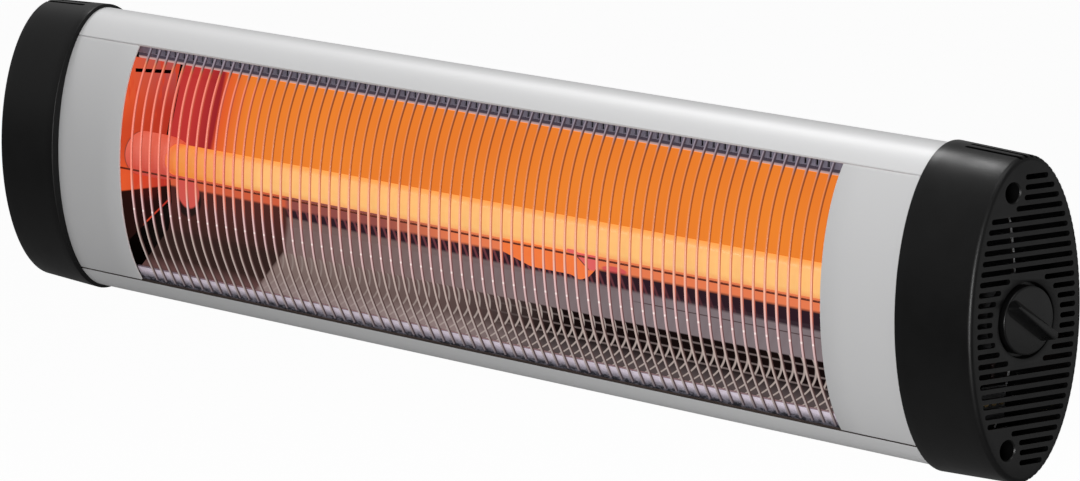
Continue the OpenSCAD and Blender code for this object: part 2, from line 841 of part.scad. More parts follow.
// Round shaft with a flat along one side
module spindle_form(from, to, r) {
    difference() {
        rod(from, to - from, r, 0, 0);
        translate([from - cut, -r, r - spindle_flat]) cube([to - from + 2 * cut, 2 * r, r]);
    }
}

module switch_spindle() {
    shoulder = floor_x + bush_nut_t + seat_gap;
    color("lightslategray") at_axis() rotate([pointer_deg, 0, 0]) {
        rod(switch_x + cap_wall, shoulder - switch_x - cap_wall, spindle_d / 2, 0, 0);
        spindle_form(shoulder - seat_gap, spindle_end, spindle_d / 2);
    }
}

module rotary_switch() {
    color("ivory") at_axis() difference() {
        union() {
            translate([switch_x, -switch_w / 2, -switch_w / 2]) cube([switch_d, switch_w, switch_w]);
            rod(switch_x + switch_d - cut, cut + cap_wall + bush_nut_t, bush_d / 2, 0, 0);
        }
        rod(switch_x + cap_wall - move_gap, switch_d + 4 * cap_wall, spindle_d / 2 + spindle_clear, 0, 0);
    }
}

module switch_spades() {
    color("goldenrod") at_axis()
        for (i = [-1:1])
            translate([switch_x - spade_len, -spade_w / 2, i * spade_pitch - spade_t / 2])
                cube([spade_len, spade_w, spade_t]);
}

module bush_nut() {
    color("silver") at_axis() difference() {
        translate([floor_x, 0, 0]) rotate([0, 90, 0])
            cylinder(h = bush_nut_t, d = bush_nut_af / cos(30), $fn = 6);
        rod(floor_x - cut, bush_nut_t + 2 * cut, bush_d / 2 + seat_gap / 2, 0, 0);
    }
}

module gland_body(r, from, to) {
    translate([gland_at, from, 0]) rotate([-90, 0, 0]) cylinder(h = to - from, r = r);
}

module cable_gland() {
    neck_from = pad_y - 2 * cap_wall - gland_nut_t - cap_wall;
    color("#202022") at_axis() difference() {
        union() {
            gland_body(gland_neck_d / 2, neck_from, pad_y + cut);
            gland_body(gland_flange_d / 2, pad_y, pad_y + gland_flange_t);
        }
        gland_body(gland_bore / 2, neck_from - cut, pad_y + gland_flange_t + cut);
    }
}

module gland_nut() {
    from = pad_y - 2 * cap_wall - gland_nut_t;
    color("#2a2a2c") at_axis() difference() {
        translate([gland_at, from, 0]) rotate([-90, 0, 0])
            cylinder(h = gland_nut_t, d = gland_nut_af / cos(30), $fn = 6);
        gland_body(gland_neck_d / 2 + seat_gap / 2, from - cut, from + gland_nut_t + cut);
    }
}

module terminal_block() {
    color("whitesmoke") at_axis() difference() {
        translate([bulk_x, 0, -block_z - block_w]) cube([block_d, block_w, block_w]);
        for (i = [-1:1])
            translate([block_x, block_w / 2 + i * block_pitch, -block_z - block_w - cut])
                cylinder(h = block_w + 2 * cut, d = lead_d + 2 * seat_gap);
    }
}

module terminal_screws() {
    color("goldenrod") at_axis()
        for (i = [-1:1])
            rod(bulk_x + block_d, block_screw_h, block_screw_d / 2, block_w / 2 + i * block_pitch, block_low);
}

// Insulated lead along straight runs, with a bead at each bend
module lead(points) {
    color("firebrick") at_axis()
        for (i = [0:len(points) - 2]) {
            d = points[i + 1] - points[i];
            translate(points[i]) rotate([0, acos(d[2] / norm(d)), atan2(d[1], d[0])])
                cylinder(h = norm(d), d = lead_d, $fn = 24);
            if (i > 0) translate(points[i]) sphere(d = lead_d * lead_bend, $fn = 24);
        }
}

module lead_left() {
    way = block_w / 2 + block_pitch;
    turn_x = -holder_end - lead_turn;
    lead([[block_x, way, block_low], [block_x, way, -block_z + lead_z / 2], [block_x, lead_y, -lead_z],
          [turn_x, lead_y, -lead_z], [turn_x, lead_y, tube_z], [turn_x, -tube_y, tube_z],
          [-holder_end - seat_gap, -tube_y, tube_z]]);
}

module lead_right() {
    lead([[spade_x - lead_d / 2, 0, spade_pitch], [block_x, -tube_y / 2, spade_pitch],
          [block_x, -tube_y, tube_z], [holder_end + seat_gap, -tube_y, tube_z]]);
}

module lead_switch() {
    way = block_w / 2 - block_pitch;
    lead([[block_x, way, block_low], [block_x, way, -block_z + lead_z / 2], [block_x, 0, -spade_pitch],
          [spade_x, 0, -spade_pitch]]);
}

module wall_inserts() {
    color("silver") at_axis()
        for (side = [-1, 1])
            translate([side * insert_span / 2, -axis_y, 0]) rotate([90, 0, 0])
                difference() {
                    union() {
                        cylinder(h = insert_flange_t, d = insert_flange_d);
                        cylinder(h = insert_len, d = insert_d);
                    }
                    translate([0, 0, -cut]) cylinder(h = insert_len + 2 * cut, d = insert_bore);
                }
}

body_shell();
front_plate_left();
front_plate_right();
guard_wires();
guard_cross_wire();
guard_rail_top();
guard_rail_bottom();
reflector();
back_ribs();
trough_end_left();
trough_end_right();
quartz_tube();
heating_coil();
holder_left();
holder_right();
tube_support();
channel_left();
channel_right();
bulkhead_left();
bulkhead_right();
end_cap_left();
end_cap_right();
cap_screws();
control_knob();
switch_spindle();
rotary_switch();
switch_spades();
bush_nut();
cable_gland();
gland_nut();
terminal_block();
terminal_screws();
lead_left();
lead_right();
lead_switch();
wall_inserts();
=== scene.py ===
import math
import bpy
import bmesh
from mathutils import Matrix, Vector


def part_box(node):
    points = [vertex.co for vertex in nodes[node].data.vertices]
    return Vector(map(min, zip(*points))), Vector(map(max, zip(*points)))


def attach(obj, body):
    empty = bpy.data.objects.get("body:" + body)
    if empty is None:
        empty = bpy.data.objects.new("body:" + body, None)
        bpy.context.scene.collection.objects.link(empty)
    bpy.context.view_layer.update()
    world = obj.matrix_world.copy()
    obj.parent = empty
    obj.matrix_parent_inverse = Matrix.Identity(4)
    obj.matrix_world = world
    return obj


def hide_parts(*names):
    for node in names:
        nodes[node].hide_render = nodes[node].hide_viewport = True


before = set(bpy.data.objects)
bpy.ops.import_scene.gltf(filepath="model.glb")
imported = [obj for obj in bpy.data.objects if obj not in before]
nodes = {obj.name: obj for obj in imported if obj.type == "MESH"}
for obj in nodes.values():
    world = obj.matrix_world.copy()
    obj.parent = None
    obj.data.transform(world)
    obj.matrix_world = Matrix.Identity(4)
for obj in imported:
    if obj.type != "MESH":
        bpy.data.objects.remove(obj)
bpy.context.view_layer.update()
mm = 0.001
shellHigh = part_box("body_shell")[1]
capLow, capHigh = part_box("end_cap_left")
halfDepth = 38.3  # shell's oval, in millimetres
halfHeight = shellHigh.z / mm
axisY = (capLow.y + capHigh.y) / 2  # the shell's axis, in front of the wall inserts
endX = -capLow.x / mm
ends = ((-1, "left"), (1, "right"))
over = 1.0  # how far a cutting shape reaches past what it cuts
print("frame loaded, heater is", round(2 * endX), "mm long")


# Shapes

def at(x, y, z):  # a point in millimetres from the shell's axis
    return Vector((x * mm, axisY + y * mm, z * mm))


def onOval(a, b, degrees):
    t = math.radians(degrees)
    return a * math.cos(t), b * math.sin(t)


def arcOf(a, b, start, stop, count):
    return [onOval(a, b, start + (stop - start) * i / count) for i in range(count + 1)]


def frontAngle(b, z):  # where an oval's front side reaches height z
    return 180 - math.degrees(math.asin(z / b))


class Form:  # collects the points and faces of one piece
    def __init__(self):
        self.points = []
        self.faces = []

    def skin(self, rings, loop=False, ends=True):
        base, count, total = len(self.points), len(rings[0]), len(rings)
        for ring in rings:
            self.points.extend(ring)
        for i in range(total if loop else total - 1):
            for j in range(count):
                near = base + i * count
                far = base + (i + 1) % total * count
                self.faces.append((near + j, near + (j + 1) % count, far + (j + 1) % count, far + j))
        if ends and not loop:
            self.faces.append(tuple(base + j for j in reversed(range(count))))
            self.faces.append(tuple(base + (total - 1) * count + j for j in range(count)))
        return self

    def along(self, outline, start, stop, steps=1):  # an outline in Y and Z, drawn out along X
        rings = []
        for i in range(steps + 1):
            x = start + (stop - start) * i / steps
            rings.append([at(x, y, z) for y, z in outline])
        return self.skin(rings)

    def turn(self, centre, axis, profile, sides=64, loop=False):  # profile of (height, radius)
        out = Vector(axis).normalized()
        side = out.orthogonal().normalized()
        other = out.cross(side)
        rings = []
        for height, radius in profile:
            ring = []
            for j in range(sides):
                t = 2 * math.pi * j / sides
                ring.append(
                    centre + (out * height + (side * math.cos(t) + other * math.sin(t)) * radius) * mm)
            rings.append(ring)
        return self.skin(rings, loop)

    def rod(self, centre, axis, length, radius, sides=48):
        return self.turn(centre, axis, [(0, radius), (length, radius)], sides)

    def sweep(self, path, radius, sides=10):
        rings = []
        ahead = (path[1] - path[0]).normalized()
        side = ahead.orthogonal().normalized()
        for i, point in enumerate(path):
            ahead = (path[min(i + 1, len(path) - 1)] - path[max(i - 1, 0)]).normalized()
            side = (side - ahead * side.dot(ahead)).normalized()
            other = ahead.cross(side)
            ring = []
            for j in range(sides):
                t = 2 * math.pi * j / sides
                ring.append(point + (side * math.cos(t) + other * math.sin(t)) * radius * mm)
            rings.append(ring)
        return self.skin(rings)

    def block(self, low, high):
        corners = [(low[1], low[2]), (high[1], low[2]), (high[1], high[2]), (low[1], high[2])]
        return self.along(corners, low[0], high[0])


def meshOf(form, name):
    mesh = bpy.data.meshes.new(name)
    mesh.from_pydata(form.points, [], form.faces)
    work = bmesh.new()
    work.from_mesh(mesh)
    bmesh.ops.recalc_face_normals(work, faces=work.faces)
    work.to_mesh(mesh)
    work.free()
    return mesh


def quarterTurn(count):  # (sine, 1 - cosine) of even steps round a quarter circle
    angles = [math.pi / 2 * j / count for j in range(1, count + 1)]
    return [(math.sin(t), 1 - math.cos(t)) for t in angles]


def smoothed(mesh, sharp):
    mesh.shade_smooth()
    mesh.set_sharp_from_angle(angle=math.radians(sharp))


def newPiece(name, form, finish, stands, body="heater", sharp=32):
    piece = bpy.data.objects.new(name, meshOf(form, name))
    bpy.context.scene.collection.objects.link(piece)
    piece.data.materials.append(finish)
    smoothed(piece.data, sharp)
    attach(piece, body)
    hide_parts(*stands)
    return piece


def settle(piece, sharp=32):  # makes the result of the modifiers the piece's own mesh
    evaluated = piece.evaluated_get(bpy.context.evaluated_depsgraph_get())
    mesh = bpy.data.meshes.new_from_object(evaluated)
    piece.modifiers.clear()
    piece.data = mesh
    smoothed(mesh, sharp)


def carve(piece, form, operation="DIFFERENCE", sharp=32):
    tool = bpy.data.objects.new("tool", meshOf(form, "tool"))
    bpy.context.scene.collection.objects.link(tool)
    cut = piece.modifiers.new("cut", "BOOLEAN")
    cut.operation = operation
    cut.solver = "EXACT"
    cut.object = tool
    settle(piece, sharp)
    bpy.data.objects.remove(tool)


def soften(piece, width, angle):
    edge = piece.modifiers.new("edge", "BEVEL")
    edge.width = width * mm
    edge.segments = 2
    edge.limit_method = "ANGLE"
    edge.angle_limit = math.radians(angle)
    settle(piece)


# Finishes

class Line:  # one output socket, so that shader maths reads as an expression
    def __init__(self, tree, socket):
        self.tree = tree
        self.socket = socket

    def maths(self, operation, first, second, clamp=False):
        return self.tree.node(
            "ShaderNodeMath", {"operation": operation, "use_clamp": clamp}, {0: first, 1: second})

    def __add__(self, other):
        return self.maths("ADD", self, other)

    def __radd__(self, other):
        return self.maths("ADD", other, self)

    def __sub__(self, other):
        return self.maths("SUBTRACT", self, other)

    def __rsub__(self, other):
        return self.maths("SUBTRACT", other, self)

    def __mul__(self, other):
        return self.maths("MULTIPLY", self, other)

    def __rmul__(self, other):
        return self.maths("MULTIPLY", other, self)

    def __truediv__(self, other):
        return self.maths("DIVIDE", self, other)

    def __rtruediv__(self, other):
        return self.maths("DIVIDE", other, self)

    def above(self, edge, width=0.001):  # 0 below the edge, 1 above it
        return self.maths("ADD", (self - edge) / width, 0.5, True)

    def below(self, edge, width=0.001):
        return self.maths("ADD", (edge - self) / width, 0.5, True)

    def between(self, low, high, width=0.001):
        return self.above(low, width) * self.below(high, width)

    def near(self, place, half, width):  # 1 within half of the place
        return self.maths("ABSOLUTE", self - place, 0).below(half, width)

    def bigger(self, other):
        return self.maths("MAXIMUM", self, other)

    def swing(self, half):  # distance to the nearest even multiple of half
        return self.maths("PINGPONG", self, half)


class NodeTree:  # adds nodes to the tree of a material or the world
    def __init__(self, tree):
        self.tree = tree

    def node(self, kind, settings=None, sockets=None, out=0):
        made = self.tree.nodes.new(kind)
        for key, value in (settings or {}).items():
            if key == "stops":
                ramp = made.color_ramp
                while len(ramp.elements) < len(value):
                    ramp.elements.new(0.5)
                for element, (place, colour) in zip(ramp.elements, value):
                    element.position = place
                    element.color = (*colour, 1)
            else:
                setattr(made, key, value)
        for key, value in (sockets or {}).items():
            self.fill(made.inputs[key], value)
        return Line(self, made.outputs[out])

    def fill(self, socket, value):
        if isinstance(value, Line):
            self.tree.links.new(value.socket, socket)
        else:
            socket.default_value = (*value, 1) if socket.type == "RGBA" and len(value) == 3 else value


class Finish(NodeTree):  # a node material round one Principled shader
    def __init__(self, name, **values):
        self.material = bpy.data.materials.new(name)
        self.material.use_nodes = True
        super().__init__(self.material.node_tree)
        self.shader = self.tree.nodes["Principled BSDF"]
        for key, value in values.items():
            self.set(key, value)

    def set(self, name, value):
        spaced = "".join(" " + c if c.isupper() else c for c in name).strip()
        self.fill(self.shader.inputs[spaced[0].upper() + spaced[1:]], value)

    def coordinate(self, out, axes):
        parts = self.node("ShaderNodeSeparateXYZ", {}, {"Vector": self.node("ShaderNodeTexCoord", out=out)})
        return [Line(self, parts.socket.node.outputs[axis]) for axis in axes]

    def place(self, axes):  # where a point lies on the piece, in metres
        return self.coordinate("Object", axes)

    def facing(self, axes):  # where the surface faces
        return self.coordinate("Normal", axes)

    def noise(self, scale, detail=3.0, roughness=0.6):
        sockets = {"Scale": scale, "Detail": detail, "Roughness": roughness}
        sockets["Vector"] = self.node("ShaderNodeTexCoord", out="Object")
        return self.node("ShaderNodeTexNoise", {}, sockets)

    def streaks(self, scales, detail=3.0, roughness=0.6):  # noise with a scale for each axis
        place = self.node("ShaderNodeTexCoord", out="Object")
        stretched = self.node("ShaderNodeMapping", {}, {"Vector": place, "Scale": scales})
        sockets = {"Vector": stretched, "Scale": 1.0, "Detail": detail, "Roughness": roughness}
        return self.node("ShaderNodeTexNoise", {}, sockets)

    def mix(self, factor, first, second):  # sockets 6, 7 and 2 of a Mix node are its colours
        return self.node("ShaderNodeMix", {"data_type": "RGBA"}, {0: factor, 6: first, 7: second}, out=2)

    def ramp(self, stops, factor):
        return self.node("ShaderNodeValToRGB", {"stops": stops}, {"Fac": factor})

    def tint(self, amount, colour):  # a colour times a number that varies
        return self.node("ShaderNodeVectorMath", {"operation": "SCALE"}, {0: colour, 3: amount})

    def bump(self, height, strength, distance):
        sockets = {"Height": height, "Strength": strength, "Distance": distance}
        self.set("normal", self.node("ShaderNodeBump", {}, sockets))


def rgb(red, green, blue):  # a screen colour of 0 to 255 as shader values
    def linear(c):
        c = c / 255
        return c / 12.92 if c <= 0.04045 else ((c + 0.055) / 1.055) ** 2.4
    return linear(red), linear(green), linear(blue)


def scaled(colour, share):
    return tuple(c * share for c in colour)


def satinSilver(name, colour, rough=0.42):
    made = Finish(name, metallic=0.1)
    made.shader.inputs["Specular IOR Level"].default_value = 0.2
    grain = made.streaks((60, 2600, 2600), detail=2.0)  # drawn along the length
    cloud = made.noise(9.0, detail=2.0, roughness=0.5)
    made.set("baseColor", made.mix(cloud * 0.5 + grain * 0.25, scaled(colour, 0.94), colour))
    made.set("roughness", rough - 0.05 + grain * 0.07 + cloud * 0.05)
    made.bump(grain, strength=0.05, distance=0.0002)
    return made.material


def grainedPlastic(name, colour, rough=0.42, grain=2200.0):
    made = Finish(name)
    made.shader.inputs["IOR"].default_value = 1.34
    fine = made.noise(grain, detail=2.0)
    cloud = made.noise(38.0)
    made.set("baseColor", made.mix(cloud, scaled(colour, 0.5), scaled(colour, 1.6)))
    made.set("roughness", rough - 0.12 + cloud * 0.22 + fine * 0.06)
    made.bump(fine, strength=0.22, distance=0.00012)
    return made.material


def plainSheet(name, colour, rough=0.38):
    made = Finish(name, metallic=0.9)
    rolled = made.streaks((40, 900, 900))
    stain = made.noise(30.0)
    made.set("baseColor", made.mix(stain, scaled(colour, 0.72), colour))
    made.set("roughness", rough - 0.08 + rolled * 0.12 + stain * 0.1)
    made.bump(rolled, strength=0.08, distance=0.0002)
    return made.material


def platedMetal(name, colour, rough=0.3):
    made = Finish(name, metallic=1.0)
    cloud = made.noise(260.0)
    made.set("baseColor", made.mix(cloud, scaled(colour, 0.75), colour))
    made.set("roughness", rough - 0.06 + cloud * 0.16)
    made.bump(cloud, strength=0.06, distance=0.0002)
    return made.material


def plainMoulding(name, colour, rough=0.35):
    made = Finish(name)
    cloud = made.noise(120.0)
    made.set("baseColor", made.mix(cloud, scaled(colour, 0.85), colour))
    made.set("roughness", rough - 0.05 + cloud * 0.1)
    made.bump(cloud, strength=0.05, distance=0.0002)
    return made.material


shellPaint = satinSilver("shellSilver", (0.73, 0.73, 0.735))
platePaint = satinSilver("plateSilver", (0.66, 0.66, 0.665), 0.46)
capPlastic = grainedPlastic("capBlack", (0.003, 0.003, 0.0031), 0.34)
knobPlastic = grainedPlastic("knobBlack", (0.003, 0.003, 0.0031), 0.28, 3200.0)
innerSheet = plainSheet("innerSheet", (0.42, 0.41, 0.40))
# painted shade: a near-black finish for the reflector's back and the bulkheads, which sit in shade
paintedShadeSheet = grainedPlastic("paintedShadeSheet", (0.012, 0.012, 0.013), 0.5, 1400.0)
# painted shade: a dark finish for the shell's inside and its bottom edge
shellPaintedShade = grainedPlastic("shellPaintedShade", (0.030, 0.022, 0.019), 0.5, 1400.0)
zincFinish = platedMetal("zincPlate", (0.62, 0.62, 0.63))
brassFinish = platedMetal("brassPart", (0.72, 0.52, 0.24), 0.28)
switchPlastic = plainMoulding("switchMoulding", (0.05, 0.05, 0.052))
leadSleeve = plainMoulding("leadSleeve", (0.03, 0.012, 0.01), 0.5)
print("finishes ready")


# Shell and front plates

shell = {
    "thickness": 1.6, "edgeTop": 74.0, "edgeBottom": -77.0, "reach": 397.5, "round": 0.5, "insertSpan": 300.0,
    "insertHole": 4.6, "cutLength": 12.0, "fineness": 120, "lengths": 8}
plates = {
    "thickness": 1.2, "gap": 0.3, "opening": 321.5, "round": 0.4, "bevel": 0.25, "fineness": 72, "lengths": 4}


def sheetArc(a, b, thickness, start, stop, count, edge):  # outline of a bent sheet with rounded edges
    stepIn = math.degrees(edge / max(a, b))
    outer = arcOf(a, b, start + stepIn, stop - stepIn, count)
    inner = arcOf(a - thickness, b - thickness, stop - stepIn, start + stepIn, count)
    tip, tail = (onOval(a - thickness / 2, b - thickness / 2, end) for end in (stop, start))
    return outer + [tip] + inner + [tail]


shellOutline = sheetArc(
    halfDepth, halfHeight, shell["thickness"], -frontAngle(halfHeight, -shell["edgeBottom"]),
    frontAngle(halfHeight, shell["edgeTop"]), shell["fineness"], shell["round"])
shellStep = len(shellOutline)
shellForm = Form().along(shellOutline, -shell["reach"], shell["reach"], shell["lengths"])
shellPiece = newPiece("shellSheet", shellForm, shellPaint, stands=("body_shell",), sharp=28)
shellPiece.data.materials.append(shellPaintedShade)
for face in shellPiece.data.polygons:  # the inside and the bottom edge are painted dark, as painted shade
    if face.index < shell["lengths"] * shellStep and face.index % shellStep >= shell["fineness"] + 2:
        face.material_index = 1
holes = Form()
for side in (-1, 1):
    holes.rod(
        at(side * shell["insertSpan"] / 2, halfDepth - shell["cutLength"] / 2, 0), (0, 1, 0),
        shell["cutLength"], shell["insertHole"])
carve(shellPiece, holes, sharp=28)

plateStart = frontAngle(halfHeight, shell["edgeTop"] - plates["gap"])
plateStop = frontAngle(halfHeight, shell["edgeBottom"] + plates["gap"])
plateOutline = sheetArc(
    halfDepth, halfHeight, plates["thickness"], plateStart, plateStop, plates["fineness"], plates["round"])
for side, word in ends:
    form = Form().along(plateOutline, side * plates["opening"], side * shell["reach"], plates["lengths"])
    piece = newPiece("frontPlate_" + word, form, platePaint, stands=("front_plate_" + word,))
    soften(piece, plates["bevel"], angle=60)
print("shell and plates made")


# End caps

cap = {
    "lip": 385.5, "lipDepth": 43.7, "lipHeight": 92.2, "endDepth": 43.0, "endHeight": 90.2, "wall": 2.4,
    "edge": 3.2, "lipRound": 1.0, "pocket": 397.8, "clear": 0.3, "ventPitch": 5.6, "ventWidth": 3.0,
    "ventBorder": 5.5, "ventRows": 14, "ventSteps": 12, "clearKnob": 26.0, "clearWell": 9.3, "rimPitch": 4.2,
    "rimWidth": 2.0, "rimStart": 15.0, "rimDepth": 1.6, "rimOver": 5.0, "rimSlots": 28, "rimSteps": 8,
    "rimClearRight": 12.9, "fineness": 144, "lengths": 8}
well = {
    "y": -12.3, "z": 70.5, "radius": 5.5, "wall": 1.6, "floor": 413.5, "round": 0.6, "roundDepth": 0.8,
    "hole": 2.15, "holeDepth": 22.0, "bulkhead": 396.5}
recess = {
    "radius": 21.0, "floor": 439.0, "round": 0.6, "roundMouth": 0.8, "bush": 5.1, "bushFrom": 435.0,
    "bushDepth": 6.0}
gland = {
    "x": 411.5, "pad": 43.9, "padRadius": 11.7, "padRound": 0.4, "flange": 10.5, "flangeDepth": 2.5,
    "neck": 7.5, "neckDepth": 13.2, "fit": 0.1, "holeDepth": 12.0, "holeLength": 20.0, "bore": 4.0}


capLength = endX - cap["edge"] - cap["lip"]  # as far as its rounded outer edge


def ovalRing(x, a, b):
    angles = [2 * math.pi * j / cap["fineness"] for j in range(cap["fineness"])]
    return [at(x, a * math.cos(t), b * math.sin(t)) for t in angles]


def capRing(x, inset, side):  # the cap grows smaller towards its end
    share = min((x - cap["lip"]) / capLength, 1)
    a = cap["lipDepth"] + (cap["endDepth"] - cap["lipDepth"]) * share
    b = cap["lipHeight"] + (cap["endHeight"] - cap["lipHeight"]) * share
    return ovalRing(side * x, a - inset, b - inset)


def shellRing(x, side):  # round the shell, with a little air
    return ovalRing(side * x, halfDepth + cap["clear"], halfHeight + cap["clear"])


def slotAcross(form, low, high, z, side):  # a vent with round ends, through the end face
    radius = cap["ventWidth"] / 2
    if high - low < 2 * radius:
        return
    outline = []
    for middle, start in ((high - radius, -0.5), (low + radius, 0.5)):
        for j in range(cap["ventSteps"] + 1):
            t = math.pi * (j / cap["ventSteps"] + start)
            outline.append((middle + radius * math.cos(t), z + radius * math.sin(t)))
    form.along(outline, side * (endX - cap["wall"] - over), side * (endX + over))


def faceVents(side, clearKnob):
    form = Form()
    a, b = cap["endDepth"] - cap["ventBorder"], cap["endHeight"] - cap["ventBorder"]
    for row in range(-cap["ventRows"], cap["ventRows"] + 1):
        z = row * cap["ventPitch"]
        half = a * math.sqrt(1 - (z / b) ** 2)
        near = max(well["z"] - abs(z), 0)
        start = -half
        if near < cap["clearWell"]:
            start = math.sqrt(cap["clearWell"] ** 2 - near ** 2) + well["y"]
        if abs(z) < clearKnob:
            notch = math.sqrt(clearKnob ** 2 - z ** 2)
            slotAcross(form, -half, -notch, z, side)
            slotAcross(form, notch, half, z, side)
        else:
            slotAcross(form, start, half, z, side)
    return form


def rimSlot(form, side, t, sign):  # one slot along the rim, as deep at both ends of the taper
    a, b = cap["endDepth"], cap["endHeight"]
    y, z = a * math.cos(t), b * math.sin(t)
    lean = math.atan2(sign * z / b ** 2, y / a ** 2)
    out = Vector((0, math.cos(lean), math.sin(lean)))
    across = Vector((0, -math.sin(lean), math.cos(lean)))
    wider = 1 - cap["rimStart"] / capLength
    lift = wider * (
        (cap["lipDepth"] - a) * math.cos(t) * out.y + (cap["lipHeight"] - b) * math.sin(t) * abs(out.z))
    middle = at(0, y, sign * z)
    radius = cap["rimWidth"] / 2
    start = cap["lip"] + cap["rimStart"] + radius
    rings = []
    for depth in (-cap["rimDepth"], cap["rimOver"]):
        ring = []
        for j in range(cap["rimSteps"] + 1):
            turn = math.pi * (j / cap["rimSteps"] + 0.5)
            ring.append(
                middle + (out * (depth + lift) + across * (radius * math.sin(turn))) * mm
                + Vector((side * (start + radius * math.cos(turn)) * mm, 0, 0)))
        for edge in (-1, 1):
            ring.append(
                middle + (out * depth + across * (radius * edge)) * mm
                + Vector((side * (endX + cap["rimOver"]) * mm, 0, 0)))
        rings.append(ring)
    form.skin(rings)


def rimVents(form, side, clearBack):  # slots over the rim, from the top round the back
    def stride(t):
        return math.hypot(cap["endDepth"] * math.sin(t), cap["endHeight"] * math.cos(t))

    t = cap["rimPitch"] / 2 / stride(0)
    for count in range(cap["rimSlots"]):
        if cap["endHeight"] * math.sin(t) >= clearBack:
            for sign in (-1, 1):
                rimSlot(form, side, t, sign)
        t += cap["rimPitch"] / stride(t)
    return form


def capForm(side):
    rings = [capRing(cap["lip"], cap["lipRound"], side)]
    for rise, fall in quarterTurn(4):  # rounded lip
        rings.append(capRing(cap["lip"] + cap["lipRound"] * fall, cap["lipRound"] * (1 - rise), side))
    for j in range(1, cap["lengths"] + 1):
        x = cap["lip"] + cap["lipRound"] + (capLength - cap["lipRound"]) * j / cap["lengths"]
        rings.append(capRing(x, 0, side))
    for rise, fall in quarterTurn(6):  # rounded outer edge
        rings.append(capRing(endX - cap["edge"] * (1 - rise), cap["edge"] * fall, side))
    inner = [shellRing(cap["lip"], side), shellRing(cap["pocket"], side)]
    for x in (cap["pocket"], endX - cap["edge"] - cap["wall"]):
        inner.append(capRing(x, cap["wall"], side))
    inner.append(capRing(endX - cap["wall"], cap["wall"] + cap["edge"], side))
    return Form().skin(list(reversed(inner)) + rings)


def capPosts(side):  # what stands inside the cap, and the pad for the gland
    form = Form()
    end = endX - cap["wall"] / 2
    for sign in (-1, 1):
        form.rod(
            at(side * well["bulkhead"], well["y"], sign * well["z"]), (side, 0, 0), end - well["bulkhead"],
            well["radius"] + well["wall"])
    if side > 0:
        form.rod(
            at(recess["floor"] - cap["wall"], 0, 0), (1, 0, 0), end - recess["floor"] + cap["wall"],
            recess["radius"] + cap["wall"], 96)
        height = 2 * cap["wall"]
        form.turn(
            at(gland["x"], gland["pad"] - height, 0), (0, 1, 0),
            [(0, gland["padRadius"]), (height - gland["padRound"], gland["padRadius"]),
            (height, gland["padRadius"] - gland["padRound"])])
    return form


def capHoles(side):  # wells for the screws, and at the right the knob's recess and the gland's hole
    form = Form()
    mouth, wide = endX - well["floor"], well["radius"] + well["round"]
    for sign in (-1, 1):
        form.turn(
            at(side * well["floor"], well["y"], sign * well["z"]), (side, 0, 0),
            [(0, well["radius"]), (mouth - well["roundDepth"], well["radius"]), (mouth, wide),
            (mouth + over, wide)], 48)
        form.rod(
            at(side * (well["bulkhead"] - over), well["y"], sign * well["z"]), (side, 0, 0),
            well["holeDepth"], well["hole"], 24)
    if side > 0:
        mouth, radius = endX - recess["floor"], recess["radius"]
        wide = radius + recess["roundMouth"]
        form.turn(
            at(recess["floor"], 0, 0), (1, 0, 0), [(0, radius - recess["round"]), (recess["round"], radius),
            (mouth - 0.9, radius), (mouth - 0.3, radius + 0.2), (mouth, wide), (mouth + over, wide)], 96)
        form.rod(
            at(gland["x"], gland["pad"] - gland["holeDepth"], 0), (0, 1, 0), gland["holeLength"],
            gland["neck"] + gland["fit"])
    return form


for side, word in ends:
    capPiece = newPiece(
        "endCap_" + word, capForm(side), capPlastic, stands=("end_cap_" + word,), sharp=30)
    clearKnob, clearBack = (cap["clearKnob"], cap["rimClearRight"]) if side > 0 else (0, 0)
    carve(capPiece, capPosts(side), "UNION", sharp=30)
    carve(capPiece, rimVents(faceVents(side, clearKnob), side, clearBack), sharp=30)
    carve(capPiece, capHoles(side), sharp=30)
    if side > 0:
        bush = Form().rod(at(recess["bushFrom"], 0, 0), (1, 0, 0), recess["bushDepth"], recess["bush"])
        carve(capPiece, bush, sharp=30)
print("caps made")


# Guard

guard = {"count": 67, "pitch": 9.45, "radius": 0.85, "crossRadius": 0.6, "smooth": 2}
wireLook = {
    "litSide": (-0.653, -0.757), "litFrom": -0.2, "litLess": 0.35, "lessAbove": 0.012, "lessRight": -0.2,
    "foot": -0.076, "height": 0.1484, "warmRight": -0.2, "warmFoot": -0.01, "warmTop": 0.062,
    "beadLow": -0.0291, "beadHigh": -0.0279}  # places in metres
wireKnots = (
    (72.4, -19.8), (62.0, -24.6), (50.0, -29.0), (36.0, -32.6), (18.0, -35.2), (2.0, -35.7), (-14.0, -35.2),
    (-29.0, -33.2), (-37.3, -31.6), (-46.5, -29.0), (-54.7, -25.6), (-60.5, -22.9), (-66.0, -20.0),
    (-69.0, -18.5), (-75.7, -14.9))


def cornersCut(line, times):  # each pass rounds the bends of a line
    for count in range(times):
        finer = [line[0]]
        for a, b in zip(line, line[1:]):
            finer.append(a.lerp(b, 0.25))
            finer.append(a.lerp(b, 0.75))
        finer.append(line[-1])
        line = finer
    return line
